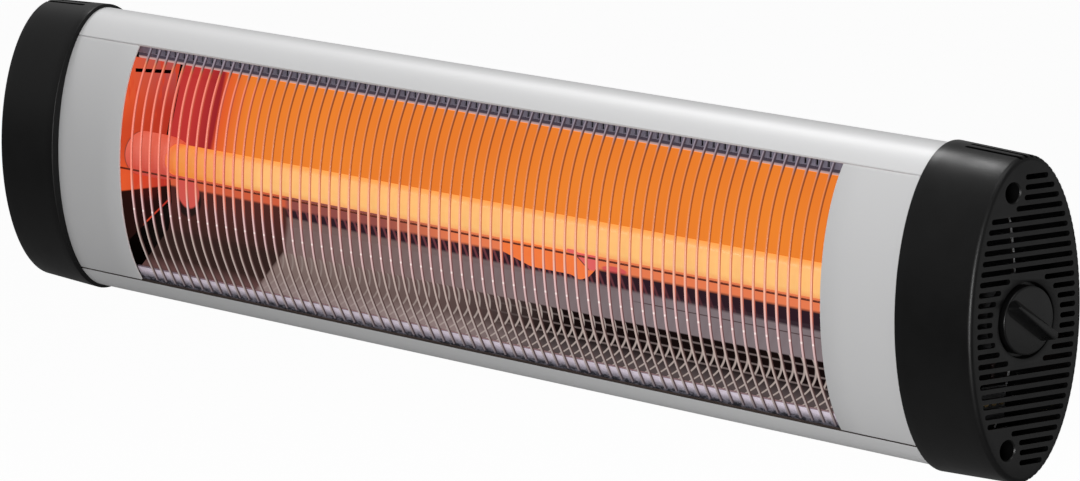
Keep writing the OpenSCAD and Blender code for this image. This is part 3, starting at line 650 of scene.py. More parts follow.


# The wires are painted with light. Their emission gives a painted highlight on the side that faces litSide
# and painted shade on the other side. It also gives painted reflections of the glow that change with height,
# a warmer painted reflection towards the left end and a row of painted glints
wireChrome = Finish("guardWire", metallic=0.6, emissionStrength=1.0)
wireCloud = wireChrome.noise(400.0, detail=2.0, roughness=0.5)
wireX, wireZ = wireChrome.place("XZ")
faceX, faceY = wireChrome.facing("XY")
litLess = wireZ.above(
    wireLook["lessAbove"], 0.01) * wireX.above(wireLook["lessRight"], 0.1) * wireLook["litLess"]
wireSide = (
    faceX * wireLook["litSide"][0] + faceY * wireLook["litSide"][1]).above(litLess + wireLook["litFrom"], 0.6)
wireHeight = (wireZ - wireLook["foot"]) / wireLook["height"]
wireLight = wireChrome.ramp(
    [(0.0, rgb(104, 96, 102)), (0.05, rgb(166, 152, 150)), (0.24, rgb(188, 168, 160)),
    (0.27, rgb(212, 178, 178)), (0.37, rgb(228, 186, 186)), (0.46, rgb(244, 178, 154)),
    (0.6, rgb(246, 170, 126)), (0.65, rgb(236, 138, 78)), (0.93, rgb(228, 130, 70)),
    (0.97, rgb(150, 138, 150))], wireHeight)
wireShade = wireChrome.ramp(
    [(0.0, rgb(52, 44, 50)), (0.05, rgb(70, 52, 50)), (0.24, rgb(76, 50, 48)), (0.37, rgb(106, 58, 60)),
    (0.42, rgb(176, 92, 78)), (0.6, rgb(204, 112, 72)), (0.65, rgb(172, 84, 34)), (0.93, rgb(138, 68, 32)),
    (0.97, rgb(60, 50, 58))], wireHeight)
# a warmer painted reflection on the left part of the wires
paintedWarmLeft = (
    wireX.below(wireLook["warmRight"], 0.06) * wireZ.above(wireLook["warmFoot"], 0.02)
    * wireZ.below(wireLook["warmTop"], 0.006))
# a row of painted glints across the wires
wireGlint = wireZ.between(wireLook["beadLow"], wireLook["beadHigh"], 0.0006)
wireLight = wireChrome.mix(paintedWarmLeft, wireLight, rgb(250, 138, 118))
wireLight = wireChrome.mix(wireGlint, wireLight, rgb(255, 232, 228))
wireShade = wireChrome.mix(paintedWarmLeft, wireShade, rgb(184, 76, 60))
wireChrome.set("emissionColor", wireChrome.mix(wireSide, wireShade, wireLight))
wireChrome.set("baseColor", wireChrome.mix(wireCloud, (0.015, 0.012, 0.012), (0.03, 0.025, 0.025)))
wireChrome.set("roughness", 0.16 + wireCloud * 0.12)
wireChrome.bump(wireCloud, strength=0.05, distance=0.0001)

wires = Form()
for i in range(guard["count"]):
    x = (i - (guard["count"] - 1) / 2) * guard["pitch"]
    wires.sweep(cornersCut([at(x, y, z) for z, y in wireKnots], guard["smooth"]), guard["radius"])
newPiece("guardWires", wires, wireChrome.material, stands=("guard_wires",), sharp=60)

crossLow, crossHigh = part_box("guard_cross_wire")
crossMiddle = (crossLow + crossHigh) / 2
crossPath = [
    Vector((x, crossMiddle.y, crossMiddle.z))
    for x in (crossLow.x, crossLow.x / 2, 0, crossHigh.x / 2, crossHigh.x)]
cross = Form().sweep(crossPath, guard["crossRadius"], 14)
crossSteel = Finish("crossWire", metallic=0.7, roughness=0.4)
crossCloud = crossSteel.noise(300.0, detail=2.0, roughness=0.5)
crossSteel.set("baseColor", crossSteel.mix(crossCloud, (0.16, 0.045, 0.03), (0.28, 0.09, 0.06)))
newPiece("crossWire", cross, crossSteel.material, stands=("guard_cross_wire",), sharp=60)
print("guard made")


# Rails above and below the opening

rails = {
    "reach": 329.9, "thickness": 1.0, "slotFoot": 69.1,
    "slot": {"place": 0.38, "width": 2.2, "height": 4.8, "round": 0.4},
    "notch": {"place": 0.83, "width": 1.2, "height": 2.8, "round": 0.3}}


def railCuts(kind, near, far):  # a row of small holes with round corners, one between each two wires
    form = Form()
    radius = kind["round"]
    wide, high = kind["width"] / 2 - radius, kind["height"] / 2 - radius
    z = rails["slotFoot"] + kind["height"] / 2
    for i in range(guard["count"] - 1):
        x = (i + kind["place"] - (guard["count"] - 1) / 2) * guard["pitch"]
        rings = []
        for y in (near, far):
            ring = []
            for corner, (right, up) in enumerate(((1, 1), (-1, 1), (-1, -1), (1, -1))):
                for j in range(4):
                    turn = math.pi / 2 * (corner + j / 3)
                    ring.append(at(x + right * wide + radius * math.cos(turn), y,
                                   z + up * high + radius * math.sin(turn)))
            rings.append(ring)
        form.skin(rings)
    return form


topLow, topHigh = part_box("guard_rail_top")
topFront, topBack = (topLow.y - axisY) / mm, (topHigh.y - axisY) / mm
topFoot, topHead = topLow.z / mm, topHigh.z / mm
darkRail = Finish("slottedRail", metallic=0.3)
railCloud = darkRail.noise(220.0)
darkRail.set("baseColor", darkRail.mix(railCloud, (0.20, 0.19, 0.24), (0.42, 0.39, 0.50)))
darkRail.set("roughness", 0.26 + railCloud * 0.15)
darkRail.bump(railCloud, strength=0.06, distance=0.0002)
railOutline = [(topFront, topFoot), (topBack, topFoot), (topBack, topHead), (topFront, topHead)]
topRail = newPiece(
    "railTop", Form().along(railOutline, -rails["reach"], rails["reach"]), darkRail.material,
    stands=("guard_rail_top",))
for kind in ("slot", "notch"):
    carve(topRail, railCuts(rails[kind], topFront - over, topBack + over))
print("upper rail made")


def offsetLine(line, distance):  # the same line, moved sideways, with mitred corners
    moved = []
    for i, (y, z) in enumerate(line):
        before, after = line[max(i - 1, 0)], line[min(i + 1, len(line) - 1)]
        one = Vector((y - before[0], z - before[1])) if i else Vector((after[0] - y, after[1] - z))
        two = Vector((after[0] - y, after[1] - z)) if i < len(line) - 1 else one
        one, two = one.normalized(), two.normalized()
        u, v = Vector((-one.y, one.x)), Vector((-two.y, two.x))
        shift = (u + v) * (distance / (1 + u.dot(v)))
        moved.append((y + shift.x, z + shift.y))
    return moved


def bentLine(line, radius, steps=5):  # rounds each inner corner of a line of (y, z)
    bent = [line[0]]
    for before, here, after in zip(line, line[1:], line[2:]):
        corner = Vector(here)
        one, two = Vector(before) - corner, Vector(after) - corner
        reach = min(radius, one.length / 2.2, two.length / 2.2)
        start, stop = corner + one.normalized() * reach, corner + two.normalized() * reach
        for j in range(steps + 1):
            t = j / steps
            spot = start * (1 - t) ** 2 + corner * (2 * t * (1 - t)) + stop * t ** 2
            bent.append((spot.x, spot.y))
    bent.append(line[-1])
    return bent


strip = {
    "line": ((-17.48, -68.6), (-12.9, -77.0), (-7.9, -86.22), (1.1, -88.25)), "bend": 1.5,
    "brightFrom": -0.0732, "edgeFrom": -0.0689}
# The strip is painted with light: an emission of its own colour as painted glow, lilac above brightFrom.
# Below that it has painted shade with a mottle, and a thin painted shadow line runs along its top edge
lightRail = Finish("lightStrip", metallic=0.05, emissionStrength=0.28)
stripZ, = lightRail.place("Z")
stripCloud = lightRail.noise(160.0)
shadeMottle = lightRail.streaks((240, 240, 500), roughness=0.7).above(0.52, 0.12)
lilac = lightRail.mix(stripCloud, (0.62, 0.54, 0.64), (0.80, 0.73, 0.82))
stripShade = lightRail.mix(shadeMottle, (0.045, 0.045, 0.055), (0.20, 0.19, 0.23))
stripColour = lightRail.mix(stripZ.above(strip["brightFrom"], 0.0046), stripShade, lilac)
stripColour = lightRail.mix(stripZ.above(strip["edgeFrom"], 0.0003), stripColour, (0.20, 0.17, 0.21))
lightRail.set("baseColor", stripColour)
lightRail.set("emissionColor", stripColour)
lightRail.set("roughness", 0.2 + stripCloud * 0.14)
lightRail.bump(stripCloud, strength=0.05, distance=0.0002)
stripFront = bentLine(strip["line"], strip["bend"])
stripBack = bentLine(offsetLine(strip["line"], rails["thickness"]), strip["bend"])
stripOutline = stripFront + list(reversed(stripBack))
newPiece(
    "railBottom", Form().along(stripOutline, -rails["reach"], rails["reach"]), lightRail.material,
    stands=("guard_rail_bottom",))
print("lower strip made")


# Trough

trough = {
    "reach": 326.5, "thickness": 0.8, "bend": 1.2, "lengths": 4,
    "line": ((-18.7, 68.4), (-18.7, 65.3), (17.0, 57.7), (4.5, 8.0), (7.4, -29.5), (5.0, -46.8),
    (-16.5, -68.05))}
glowAt = {
    "lip": 64.8, "lipEdge": 66.6, "backFoot": 4, "warmLeft": -268, "redLeft": -282, "darkLeft": -294,
    "footTop": -7, "footWarm": -80, "bandTop": -19.5, "bandRight": 150, "bandFoot": -27.3, "bandFall": 0.0118,
    "bandLean": 0.5, "greyRight": 0, "seam": -34.2, "seamFrom": 120, "panelTop": -46.8, "leftEnd": -208,
    "leftTop": -19, "leftDark": -40, "leftPale": -64, "hookX": 100, "hookZ": -18.2, "hookWide": 11,
    "hookHigh": 2.2, "spotX": -308.6, "spotZ": -20.5, "spotWide": 11.5, "spotHigh": 11, "spotShade": 0.35,
    "mirrorTop": -27.5}  # places in millimetres
netAt = {
    "rows": (-49.9, -54.1, -58.8), "rowsFrom": 30, "bowMiddle": -59, "bow": 0.08, "shift": 16, "cellFrom": 0,
    "cellLeft": -130, "foot": -62, "footFrom": 20, "strongFrom": -60, "weak": 0.3}

# The reflector is painted with light: its emission paints the tube's glow and the reflections seen in it
mirror = Finish("litReflector", emissionStrength=1.0)
mirrorX, mirrorZ = (line * 1000 for line in mirror.place("XZ"))
scratch = mirror.streaks((30, 700, 700))
wave = mirror.noise(14.0, detail=2.0, roughness=0.5)
pitch = guard["pitch"]


def rightOf(key, width):  # these four: 1 on that side of a place named in glowAt
    return mirrorX.above(glowAt[key], width)


def leftOf(key, width):
    return mirrorX.below(glowAt[key], width)


def higher(key, width):
    return mirrorZ.above(glowAt[key], width)


def lower(key, width):
    return mirrorZ.below(glowAt[key], width)


fromLeft = rightOf("leftEnd", 4)
backPart = higher("backFoot", 2)
underTube = lower("leftTop", 2)
lowerPanel = lower("panelTop", 0.6)
lip = higher("lip", 0.4)

# The sloping back's painted glow, redder towards the left, its foot, and a pink painted glow patch by the
# support's hook
glow = mirror.mix(wave, rgb(224, 110, 40), rgb(242, 138, 46))
glow = mirror.mix(leftOf("warmLeft", 30) * backPart, glow, rgb(222, 84, 46))
red = mirror.mix(rightOf("darkLeft", 26), rgb(186, 52, 50), rgb(142, 30, 38))
glow = mirror.mix(leftOf("redLeft", 4) * backPart, glow, red)
foot = mirror.mix(rightOf("footWarm", 70), rgb(142, 76, 70), rgb(228, 122, 80))
foot = mirror.mix(leftOf("leftEnd", 4), foot, rgb(204, 92, 60))
glow = mirror.mix(lower("footTop", 3), glow, foot)
hookX = (mirrorX - glowAt["hookX"]) / glowAt["hookWide"]
hookZ = (mirrorZ - glowAt["hookZ"]) / glowAt["hookHigh"]
glow = mirror.mix((hookX * hookX + hookZ * hookZ).below(1.0, 0.4), glow, rgb(208, 86, 84))

# The dark band under the tube, a painted dark reflection with the wires' painted image. Below it is the grey
# zone, a painted grey reflection that also mirrors for real, with a painted darker line
bandLine = (mirrorX + mirrorZ * glowAt["bandLean"]).swing(pitch / 2).below(1.1, 0.8)
bandLine = bandLine * leftOf("bandRight", 200)
band = mirror.mix(bandLine, rgb(42, 25, 34), rgb(106, 56, 62))
glow = mirror.mix(higher("bandTop", 1.8), band, glow)
grey = mirror.mix(rightOf("greyRight", 260), rgb(114, 90, 86), rgb(120, 108, 112))
grey = mirror.mix(wave * 0.5, grey, rgb(98, 84, 84))
seam = mirrorZ.near(glowAt["seam"], 0.3, 0.3) * rightOf("seamFrom", 20)
grey = mirror.mix(seam, grey, rgb(62, 44, 46))
glow = mirror.mix((mirrorZ + mirrorX * glowAt["bandFall"]).below(glowAt["bandFoot"], 1.6), glow, grey)

# The left end, a painted brown reflection, with the painted image of the tube's holder and a painted shadow
# under it
brownReflection = mirror.mix(wave, rgb(46, 26, 24), rgb(92, 46, 42))
brownReflection = mirror.mix(lower("leftDark", 20), brownReflection, rgb(48, 33, 30))
brownReflection = mirror.mix(lower("leftPale", 5), brownReflection, rgb(92, 64, 62))
glow = mirror.mix(leftOf("leftEnd", 4) * underTube, glow, brownReflection)
spotX = (mirrorX - glowAt["spotX"]) / glowAt["spotWide"]
spotZ = (mirrorZ - glowAt["spotZ"]) / glowAt["spotHigh"]
lowZ = spotZ + glowAt["spotShade"]
glow = mirror.mix((spotX * spotX + lowZ * lowZ).below(1.3, 0.3) * underTube, glow, rgb(30, 20, 20))
glow = mirror.mix((spotX * spotX + spotZ * spotZ).below(1.0, 0.25), glow, rgb(204, 84, 76))

# The lower panel, with the wires' image painted as a net of bent lines over painted dark cells, lighter
# towards the foot, and three painted light rows
bowZ = mirrorZ - netAt["bowMiddle"]
crossing = (mirrorX + bowZ * bowZ * netAt["bow"] - netAt["shift"] * pitch).swing(pitch / 2).below(0.85, 0.6)
crossing = crossing * (mirrorX.above(netAt["strongFrom"], 160) * (1 - netAt["weak"]) + netAt["weak"])
first, second, third = (mirrorZ.near(z, 0.4, 0.3) for z in netAt["rows"])
rows = first.bigger(second).bigger(third) * mirrorX.above(netAt["rowsFrom"], 90)
leftCell = mirror.mix(mirrorX.above(netAt["cellLeft"], 150), rgb(124, 106, 101), rgb(96, 78, 75))
cell = mirror.mix(mirrorX.above(netAt["cellFrom"], 120), leftCell, rgb(15, 8, 8))
footCell = mirror.mix(mirrorX.above(netAt["footFrom"], 80), rgb(138, 120, 118), rgb(80, 70, 70))
cell = mirror.mix(mirrorZ.below(netAt["foot"], 7), cell, footCell)
panel = mirror.mix(crossing, mirror.mix(rows, cell, rgb(108, 96, 94)), rgb(168, 154, 148))
glow = mirror.mix(lowerPanel * fromLeft, glow, panel)
# the lip: painted glow below lipEdge and painted shade above it
lipGlow = mirror.mix(higher("lipEdge", 0.8), rgb(180, 150, 148), rgb(66, 58, 68))
glow = mirror.mix(lip, glow, lipGlow)

# Only the grey zone mirrors what stands before it
shows = mirrorZ.between(glowAt["panelTop"], glowAt["mirrorTop"], 0.8) * fromLeft
base = mirror.mix(shows, (0.02, 0.015, 0.012), (0.10, 0.09, 0.09))
base = mirror.mix(lip, base, (0.06, 0.05, 0.07))
mirror.set("baseColor", mirror.mix(lowerPanel, base, (0.004, 0.003, 0.003)))
mirror.shader.inputs["Specular IOR Level"].default_value = 0.0
bare = higher("panelTop", 0.6) * fromLeft.bigger(higher("leftTop", 2))
mirror.set("metallic", bare)
mirror.set("emissionColor", glow)
mirror.set("roughness", 0.08 + scratch * 0.08)
mirror.bump(wave, strength=0.1, distance=0.0005)

troughFront = bentLine(trough["line"], trough["bend"])
troughBack = bentLine(offsetLine(trough["line"], trough["thickness"]), trough["bend"])
troughOutline = troughFront + list(reversed(troughBack))
troughForm = Form().along(troughOutline, -trough["reach"], trough["reach"], trough["lengths"])
reflectorPiece = newPiece(
    "reflectorSheet", troughForm, mirror.material, stands=("reflector",), sharp=50)
reflectorPiece.data.materials.append(paintedShadeSheet)
for face in reflectorPiece.data.polygons:  # the back is painted dark, as painted shade
    if face.index % len(troughOutline) >= len(troughFront) - 1:
        face.material_index = 1
print("reflector made")


# Tube and its holders

tube = {
    "y": -14.0, "z": 3.5, "radius": 10.0, "wall": 1.2, "round": 0.4, "reach": 341.0, "coilRadius": 5.4,
    "coilWire": 0.6, "coilPitch": 3.2, "coilReach": 336.0, "coilSteps": 12, "brightFrom": -0.232,
    "endFrom": -0.284}
tubeCentre = at(0, tube["y"], tube["z"])

quartz = Finish("litQuartz", roughness=0.35, emissionStrength=1.0, baseColor=(0.12, 0.08, 0.05))
tubeX, tubeZ = quartz.place("XZ")
turns = quartz.streaks((110, 4, 4), detail=2.0, roughness=0.7)
tubeHeight = (tubeZ - (tubeCentre.z - tube["radius"] * mm)) / (2 * tube["radius"] * mm)
bright = quartz.ramp(
    [(0.0, rgb(240, 156, 88)), (0.25, rgb(247, 186, 110)), (0.7, rgb(247, 184, 108)),
    (0.88, rgb(247, 180, 104)), (1.0, rgb(240, 156, 78))], tubeHeight)
warm = quartz.mix(tubeX.above(tube["brightFrom"], 0.07), rgb(232, 138, 54), bright)
warm = quartz.mix(tubeX.above(tube["endFrom"], 0.008), rgb(226, 112, 46), warm)
quartz.set("emissionColor", quartz.mix(turns.above(0.5, 0.3), warm, quartz.tint(0.93, warm)))
tubeEnd, tubeInside = tube["reach"] - tube["round"], tube["radius"] - tube["wall"]
glassProfile = [
    (-tube["reach"], tubeInside), (-tube["reach"], tube["radius"] - tube["round"]),
    (-tubeEnd, tube["radius"]), (tubeEnd, tube["radius"]),
    (tube["reach"], tube["radius"] - tube["round"]), (tube["reach"], tubeInside)]
glass = Form().turn(tubeCentre, (1, 0, 0), glassProfile, 48, True)
newPiece("quartzTube", glass, quartz.material, stands=("quartz_tube",))

coilGlow = Finish("litCoil", metallic=0.6, roughness=0.5, emissionStrength=1.4, baseColor=(0.3, 0.16, 0.08))
coilCloud = coilGlow.noise(300.0, detail=2.0)
coilGlow.set("emissionColor", coilGlow.mix(coilCloud, rgb(255, 150, 40), rgb(255, 210, 120)))
coilPath = []
coilTurns = int(2 * tube["coilReach"] / tube["coilPitch"])
for i in range(coilTurns * tube["coilSteps"] + 1):
    t = 2 * math.pi * i / tube["coilSteps"]
    x = -tube["coilReach"] + tube["coilPitch"] * i / tube["coilSteps"]
    coilPath.append(at(x, tube["y"] + tube["coilRadius"] * math.cos(t),
                       tube["z"] + tube["coilRadius"] * math.sin(t)))
newPiece(
    "heatingCoil", Form().sweep(coilPath, tube["coilWire"], 5), coilGlow.material,
    stands=("heating_coil",), sharp=60)

holder = {
    "radius": 14.0, "tip": 11.0, "tipRound": 0.3, "fromLeft": 292.0, "fromRight": 310.0, "nose": 16.0,
    "to": 329.9, "round": 0.5, "neck": 12.0, "neckRound": 0.6, "end": 346.0, "bore": 10.1, "leadBore": 1.5,
    "back": 5.0, "frontFrom": 0.0, "tipFrom": -0.309, "rimFrom": -0.3286}
# The holders are painted with light. Their emission is a painted glow, with darker painted shade towards the
# bottom. A dark painted shadow ring sits at the left end, where they meet the end plate
ceramic = Finish("litCeramic", roughness=0.55, emissionStrength=1.0)
holderX, holderZ = ceramic.place("XZ")
grit = ceramic.noise(500.0)
ceramic.set("baseColor", ceramic.mix(grit, (0.12, 0.07, 0.06), (0.17, 0.10, 0.09)))
holderGlow = ceramic.mix(holderX.above(holder["tipFrom"], 0.012), rgb(208, 90, 70), rgb(206, 76, 50))
holderGlow = ceramic.mix(holderZ.above(holder["frontFrom"], 0.02), rgb(184, 56, 48), holderGlow)
holderGlow = ceramic.mix(holderX.below(holder["rimFrom"], 0.0006), holderGlow, rgb(70, 20, 18))
ceramic.set("emissionColor", holderGlow)
ceramic.bump(grit, strength=0.15, distance=0.0003)


def holderProfile(start):
    nose = start + holder["tipRound"]
    profile = [(start, holder["bore"]), (start, holder["tip"] - holder["tipRound"]), (nose, holder["tip"])]
    for rise, fall in quarterTurn(10):
        profile.append(
            (nose + holder["nose"] * fall, holder["tip"] + (holder["radius"] - holder["tip"]) * rise))
    to, end = holder["to"], holder["end"]
    return profile + [
        (to - holder["round"], holder["radius"]), (to, holder["radius"] - holder["round"]),
        (to, holder["neck"]), (end - holder["neckRound"], holder["neck"]),
        (end, holder["neck"] - holder["neckRound"]), (end, holder["leadBore"]),
        (end - holder["back"], holder["leadBore"]), (end - holder["back"], holder["bore"])]


for side, word in ends:
    profile = holderProfile(holder["fromLeft"] if side < 0 else holder["fromRight"])
    newPiece(
        "tubeHolder_" + word, Form().turn(tubeCentre, (side, 0, 0), profile, 64, True), ceramic.material,
        stands=("holder_" + word,))
print("tube and holders made")


# Trough ends

endPlate = {
    "from": 330.0, "thickness": 1.0, "hole": 12.1, "holeFrom": 328.0, "holeLength": 5.0, "slotLow": 55.5,
    "slotHeight": 2.4, "slotFront": -18.7, "slotBack": 12.0, "slotFall": 6.6, "depth": 37.0, "height": 88.7,
    "top": 65.3, "bottom": -55.0, "fineness": 40}
plateLook = {
    "foreFrom": -0.012, "upperFrom": 0.045, "hotLow": 0.0, "hotHigh": 0.03, "darkBelow": -0.0195,
    "rimY": 0.0074, "rimZ": -0.0295, "rimSlope": 0.7005, "rimFront": -0.0115}  # in metres
# The end plates are painted with light. Their emission is a painted glow with streaks and a dimmer middle
# band, a thin painted lit line along a slope, and painted shade below darkBelow
plateGlow = Finish("litEndPlate", metallic=1.0, emissionStrength=1.0, baseColor=(0.06, 0.03, 0.03))
plateY, plateZ = plateGlow.place("YZ")
glowStreak = plateGlow.streaks((20, 90, 30))
rear = plateGlow.mix(plateZ.above(plateLook["upperFrom"], 0.03), rgb(178, 50, 40), rgb(176, 82, 76))
plateLight = plateGlow.mix(plateY.below(axisY + plateLook["foreFrom"], 0.03), rear, rgb(222, 88, 46))
middle = plateZ.between(plateLook["hotLow"], plateLook["hotHigh"], 0.02) * 0.6
plateLight = plateGlow.mix(middle, plateLight, rgb(178, 54, 30))
plateLight = plateGlow.mix(glowStreak.above(0.58, 0.1), plateLight, rgb(206, 66, 40))
slope = (plateY - axisY - plateLook["rimY"]) * plateLook["rimSlope"]
rim = (plateZ - plateLook["rimZ"] - slope).below(0.0014, 0.0004)
rim = rim * plateY.above(axisY + plateLook["rimFront"], 0.003)
lit = plateZ.above(plateLook["darkBelow"], 0.001).bigger(rim)
plateGlow.set("emissionColor", plateGlow.mix(lit, rgb(30, 14, 12), plateLight))
plateGlow.set("roughness", 0.2 + glowStreak * 0.1)
endFront = arcOf(
    endPlate["depth"], endPlate["height"], frontAngle(endPlate["height"], endPlate["bottom"]),
    frontAngle(endPlate["height"], endPlate["top"]), endPlate["fineness"])
endOutline = list(trough["line"][1:5]) + endFront
slotFall = math.tan(math.radians(endPlate["slotFall"])) * (endPlate["slotBack"] - endPlate["slotFront"])
slotLow, slotHigh = endPlate["slotLow"], endPlate["slotLow"] + endPlate["slotHeight"]
slotOutline = [
    (endPlate["slotFront"], slotLow), (endPlate["slotBack"], slotLow - slotFall),
    (endPlate["slotBack"], slotHigh - slotFall), (endPlate["slotFront"], slotHigh)]
for side, word in ends:
    form = Form().along(
        endOutline, side * endPlate["from"], side * (endPlate["from"] + endPlate["thickness"]))
    piece = newPiece(
        "troughEnd_" + word, form, plateGlow.material, stands=("trough_end_" + word,))
    holes = Form().rod(
        at(side * endPlate["holeFrom"], tube["y"], tube["z"]), (side, 0, 0), endPlate["holeLength"],
        endPlate["hole"], 64)
    holes.along(
        slotOutline, side * endPlate["holeFrom"], side * (endPlate["holeFrom"] + endPlate["holeLength"]))
    carve(piece, holes)
print("trough ends made")


# Support under the tube

support = {
    "x": 93.0, "length": 70.0, "ramp": 27.0, "side": 7.5, "deep": 13.6, "hook": 2.4, "thickness": 1.2,
    "round": 2.5, "cradle": 7.0, "gap": 0.1, "rim": 7.8, "rimRadius": 10.7, "fineness": 24, "foot": 30.0,
    "footDrop": 11.0, "under": -6.6, "back": 5.9, "foldX": 0.0922, "foldZ": -0.0097, "foldSlope": 1.59,
    "foldTop": -0.0156}
# The strap is painted with light. Its emission is a painted glow with a mottle, pink beside the hook, and a
# dark painted shade line along the fold
strapGlow = Finish(
    "litStrap", metallic=0.4, roughness=0.4, emissionStrength=1.0, baseColor=(0.12, 0.07, 0.05))
strapX, strapZ = strapGlow.place("XZ")
glowMottle = strapGlow.noise(120.0)
fold = (strapX - support["foldX"]) + (strapZ - support["foldZ"]) * support["foldSlope"]  # beside the hook
upperPart = strapZ.above(support["foldTop"], 0.001)
strapColour = strapGlow.mix(glowMottle, rgb(226, 98, 42), rgb(240, 122, 52))
strapColour = strapGlow.mix(upperPart * fold.above(0.0, 0.0004), strapColour, rgb(214, 86, 88))
creaseShade = fold.between(-0.0008, 0.0006, 0.0004) * upperPart
strapGlow.set("emissionColor", strapGlow.mix(creaseShade, strapColour, rgb(96, 42, 40)))


def strapSpot(along, down):  # a place on the strap from its middle and its upper edge
    return support["x"] + along, support["under"] - down


cradle, deep, low = support["cradle"], support["deep"], support["side"]
strapOutline = [
    strapSpot(-support["length"], 0), strapSpot(-support["length"], low),
    strapSpot(support["ramp"] - support["length"], deep), strapSpot(-cradle, deep),
    strapSpot(0, deep + support["hook"]), strapSpot(cradle, deep), strapSpot(2 * cradle, low),
    strapSpot(2 * cradle, 0)]
strapRound = bentLine(strapOutline + strapOutline[:1], support["round"])
halfStrap = support["thickness"] / 2
strap = Form().skin([[at(x, tube["y"] + y, z) for x, z in strapRound] for y in (-halfStrap, halfStrap)])
footX, footZ = strapSpot(-support["length"] / 2, support["footDrop"])
strap.block(
    (footX, tube["y"] + halfStrap, footZ),
    (footX + support["foot"], support["back"], footZ + support["thickness"]))
inside = tube["radius"] + support["gap"]
limit = math.asin(support["rim"] / support["rimRadius"])
angles = [
    math.pi + limit + (math.pi - 2 * limit) * j / support["fineness"] for j in range(support["fineness"] + 1)]
cradleArc = [(inside, turn) for turn in angles]
cradleArc += [(inside + support["thickness"], turn) for turn in reversed(angles)]
rings = []
for x in (support["x"] - cradle / 2, support["x"] + cradle / 2):
    rings.append([at(x, tube["y"] + radius * math.cos(turn), tube["z"] + radius * math.sin(turn))
                  for radius, turn in cradleArc])
strap.skin(rings)
newPiece("tubeSupport", strap, strapGlow.material, stands=("tube_support",))
print("support made")


# Knob

knob = {
    "radius": 19.0, "from": 439.5, "face": 445.5, "round": 1.0, "footRound": 0.3, "rise": 7.58, "sunk": 0.2,
    "footWidth": 9.0, "flare": 1.2, "ridgeWidth": 1.8, "tipWidth": 4.7, "ridgeRound": 0.6, "inset": 0.4,
    "lean": 0.8, "pointer": -33.0, "hollow": 9.2, "hollowDepth": 3.2, "bore": 3.2, "steps": 12}


def knobRing(x, reach, tip, tail):  # a long shape with round ends, turned to where the pointer rests
    ring = []
    turn = Matrix.Rotation(math.radians(knob["pointer"]), 4, "X")
    for end, width in ((1, tip), (-1, tail)):
        for j in range(17):
            t = math.pi * (j / 16 - 0.5)
            y = end * (reach - width / 2 + width / 2 * math.cos(t))
            z = end * width / 2 * math.sin(t)
            spot = turn @ Vector((0, y, z))
            ring.append(at(x, spot.y, spot.z))
    return ring


face = knob["face"] - knob["from"]
discProfile = [
    (knob["hollowDepth"], knob["bore"]), (knob["hollowDepth"], knob["hollow"]), (0, knob["hollow"]),
    (0, knob["radius"] - knob["footRound"]), (knob["footRound"], knob["radius"]),
    (face - knob["round"], knob["radius"])]
for rise, fall in quarterTurn(5):
    discProfile.append((face - knob["round"] * (1 - rise), knob["radius"] - knob["round"] * fall))
discProfile.append((face, knob["bore"]))
disc = Form().turn(at(knob["from"], 0, 0), (1, 0, 0), discProfile, 128, True)
rings = []
ridge, edge, reach = knob["face"] + knob["rise"], knob["ridgeRound"], knob["radius"] - knob["inset"]
for j in range(knob["steps"] + 1):  # the grip narrows as it rises
    t = j / knob["steps"]
    foot = knob["footWidth"] * (1 - t) + knob["flare"] * (1 - t) ** 6
    x = knob["face"] - knob["sunk"] + (knob["rise"] - 2 * knob["sunk"]) * t
    rings.append(knobRing(x, reach - knob["lean"] * t,
                          foot + knob["tipWidth"] * t, foot + knob["ridgeWidth"] * t))
for rise, fall in quarterTurn(4):  # and its ridge is rounded
    rings.append(knobRing(ridge - edge + edge * rise, reach - knob["lean"] - edge * fall,
                          knob["tipWidth"] - 2 * edge * fall, knob["ridgeWidth"] - 2 * edge * fall))
disc.skin(rings)
newPiece("controlKnob", disc, knobPlastic, body="control", stands=("control_knob",), sharp=35)
print("knob made")


# Screws, gland and inserts

screw = {
    "head": 4.0, "headAt": 413.6, "headDepth": 3.0, "shank": 2.0, "tip": 391.0, "point": 0.9,
    "threadFrom": 1.6, "threadStep": 0.5, "threadDepth": 0.25, "threads": 32, "cross": 0.9, "crossReach": 2.3,
    "crossDepth": 1.4}
start, head, shank, tip = screw["headAt"], screw["head"], screw["shank"], screw["tip"]
top = start + screw["headDepth"]
screwProfile = [(tip, screw["point"]), (tip + 1.2, shank)]
for j in range(screw["threads"]):
    height = tip + screw["threadFrom"] + screw["threadStep"] * j
    screwProfile.append((height, shank - screw["threadDepth"] * (j % 2)))
screwProfile += [
    (start, shank), (start, head - 0.2), (start + 0.3, head), (start + 1.4, head), (start + 2.3, head - 0.6),
    (top, head - 2.0)]
screws, crosses = Form(), (Form(), Form())
for side in (-1, 1):
    for sign in (-1, 1):
        y, z = well["y"], sign * well["z"]
        screws.turn(at(0, y, z), (side, 0, 0), screwProfile, 40)
        near, far = sorted((side * (top - screw["crossDepth"]), side * (top + over)))
        for form, wide, high in (
                (crosses[0], screw["cross"], screw["crossReach"]),
                (crosses[1], screw["crossReach"], screw["cross"])):
            form.block((near, y - wide / 2, z - high / 2), (far, y + wide / 2, z + high / 2))
screwPiece = newPiece("capScrews", screws, zincFinish, stands=("cap_screws",))
for form in crosses:
    carve(screwPiece, form)

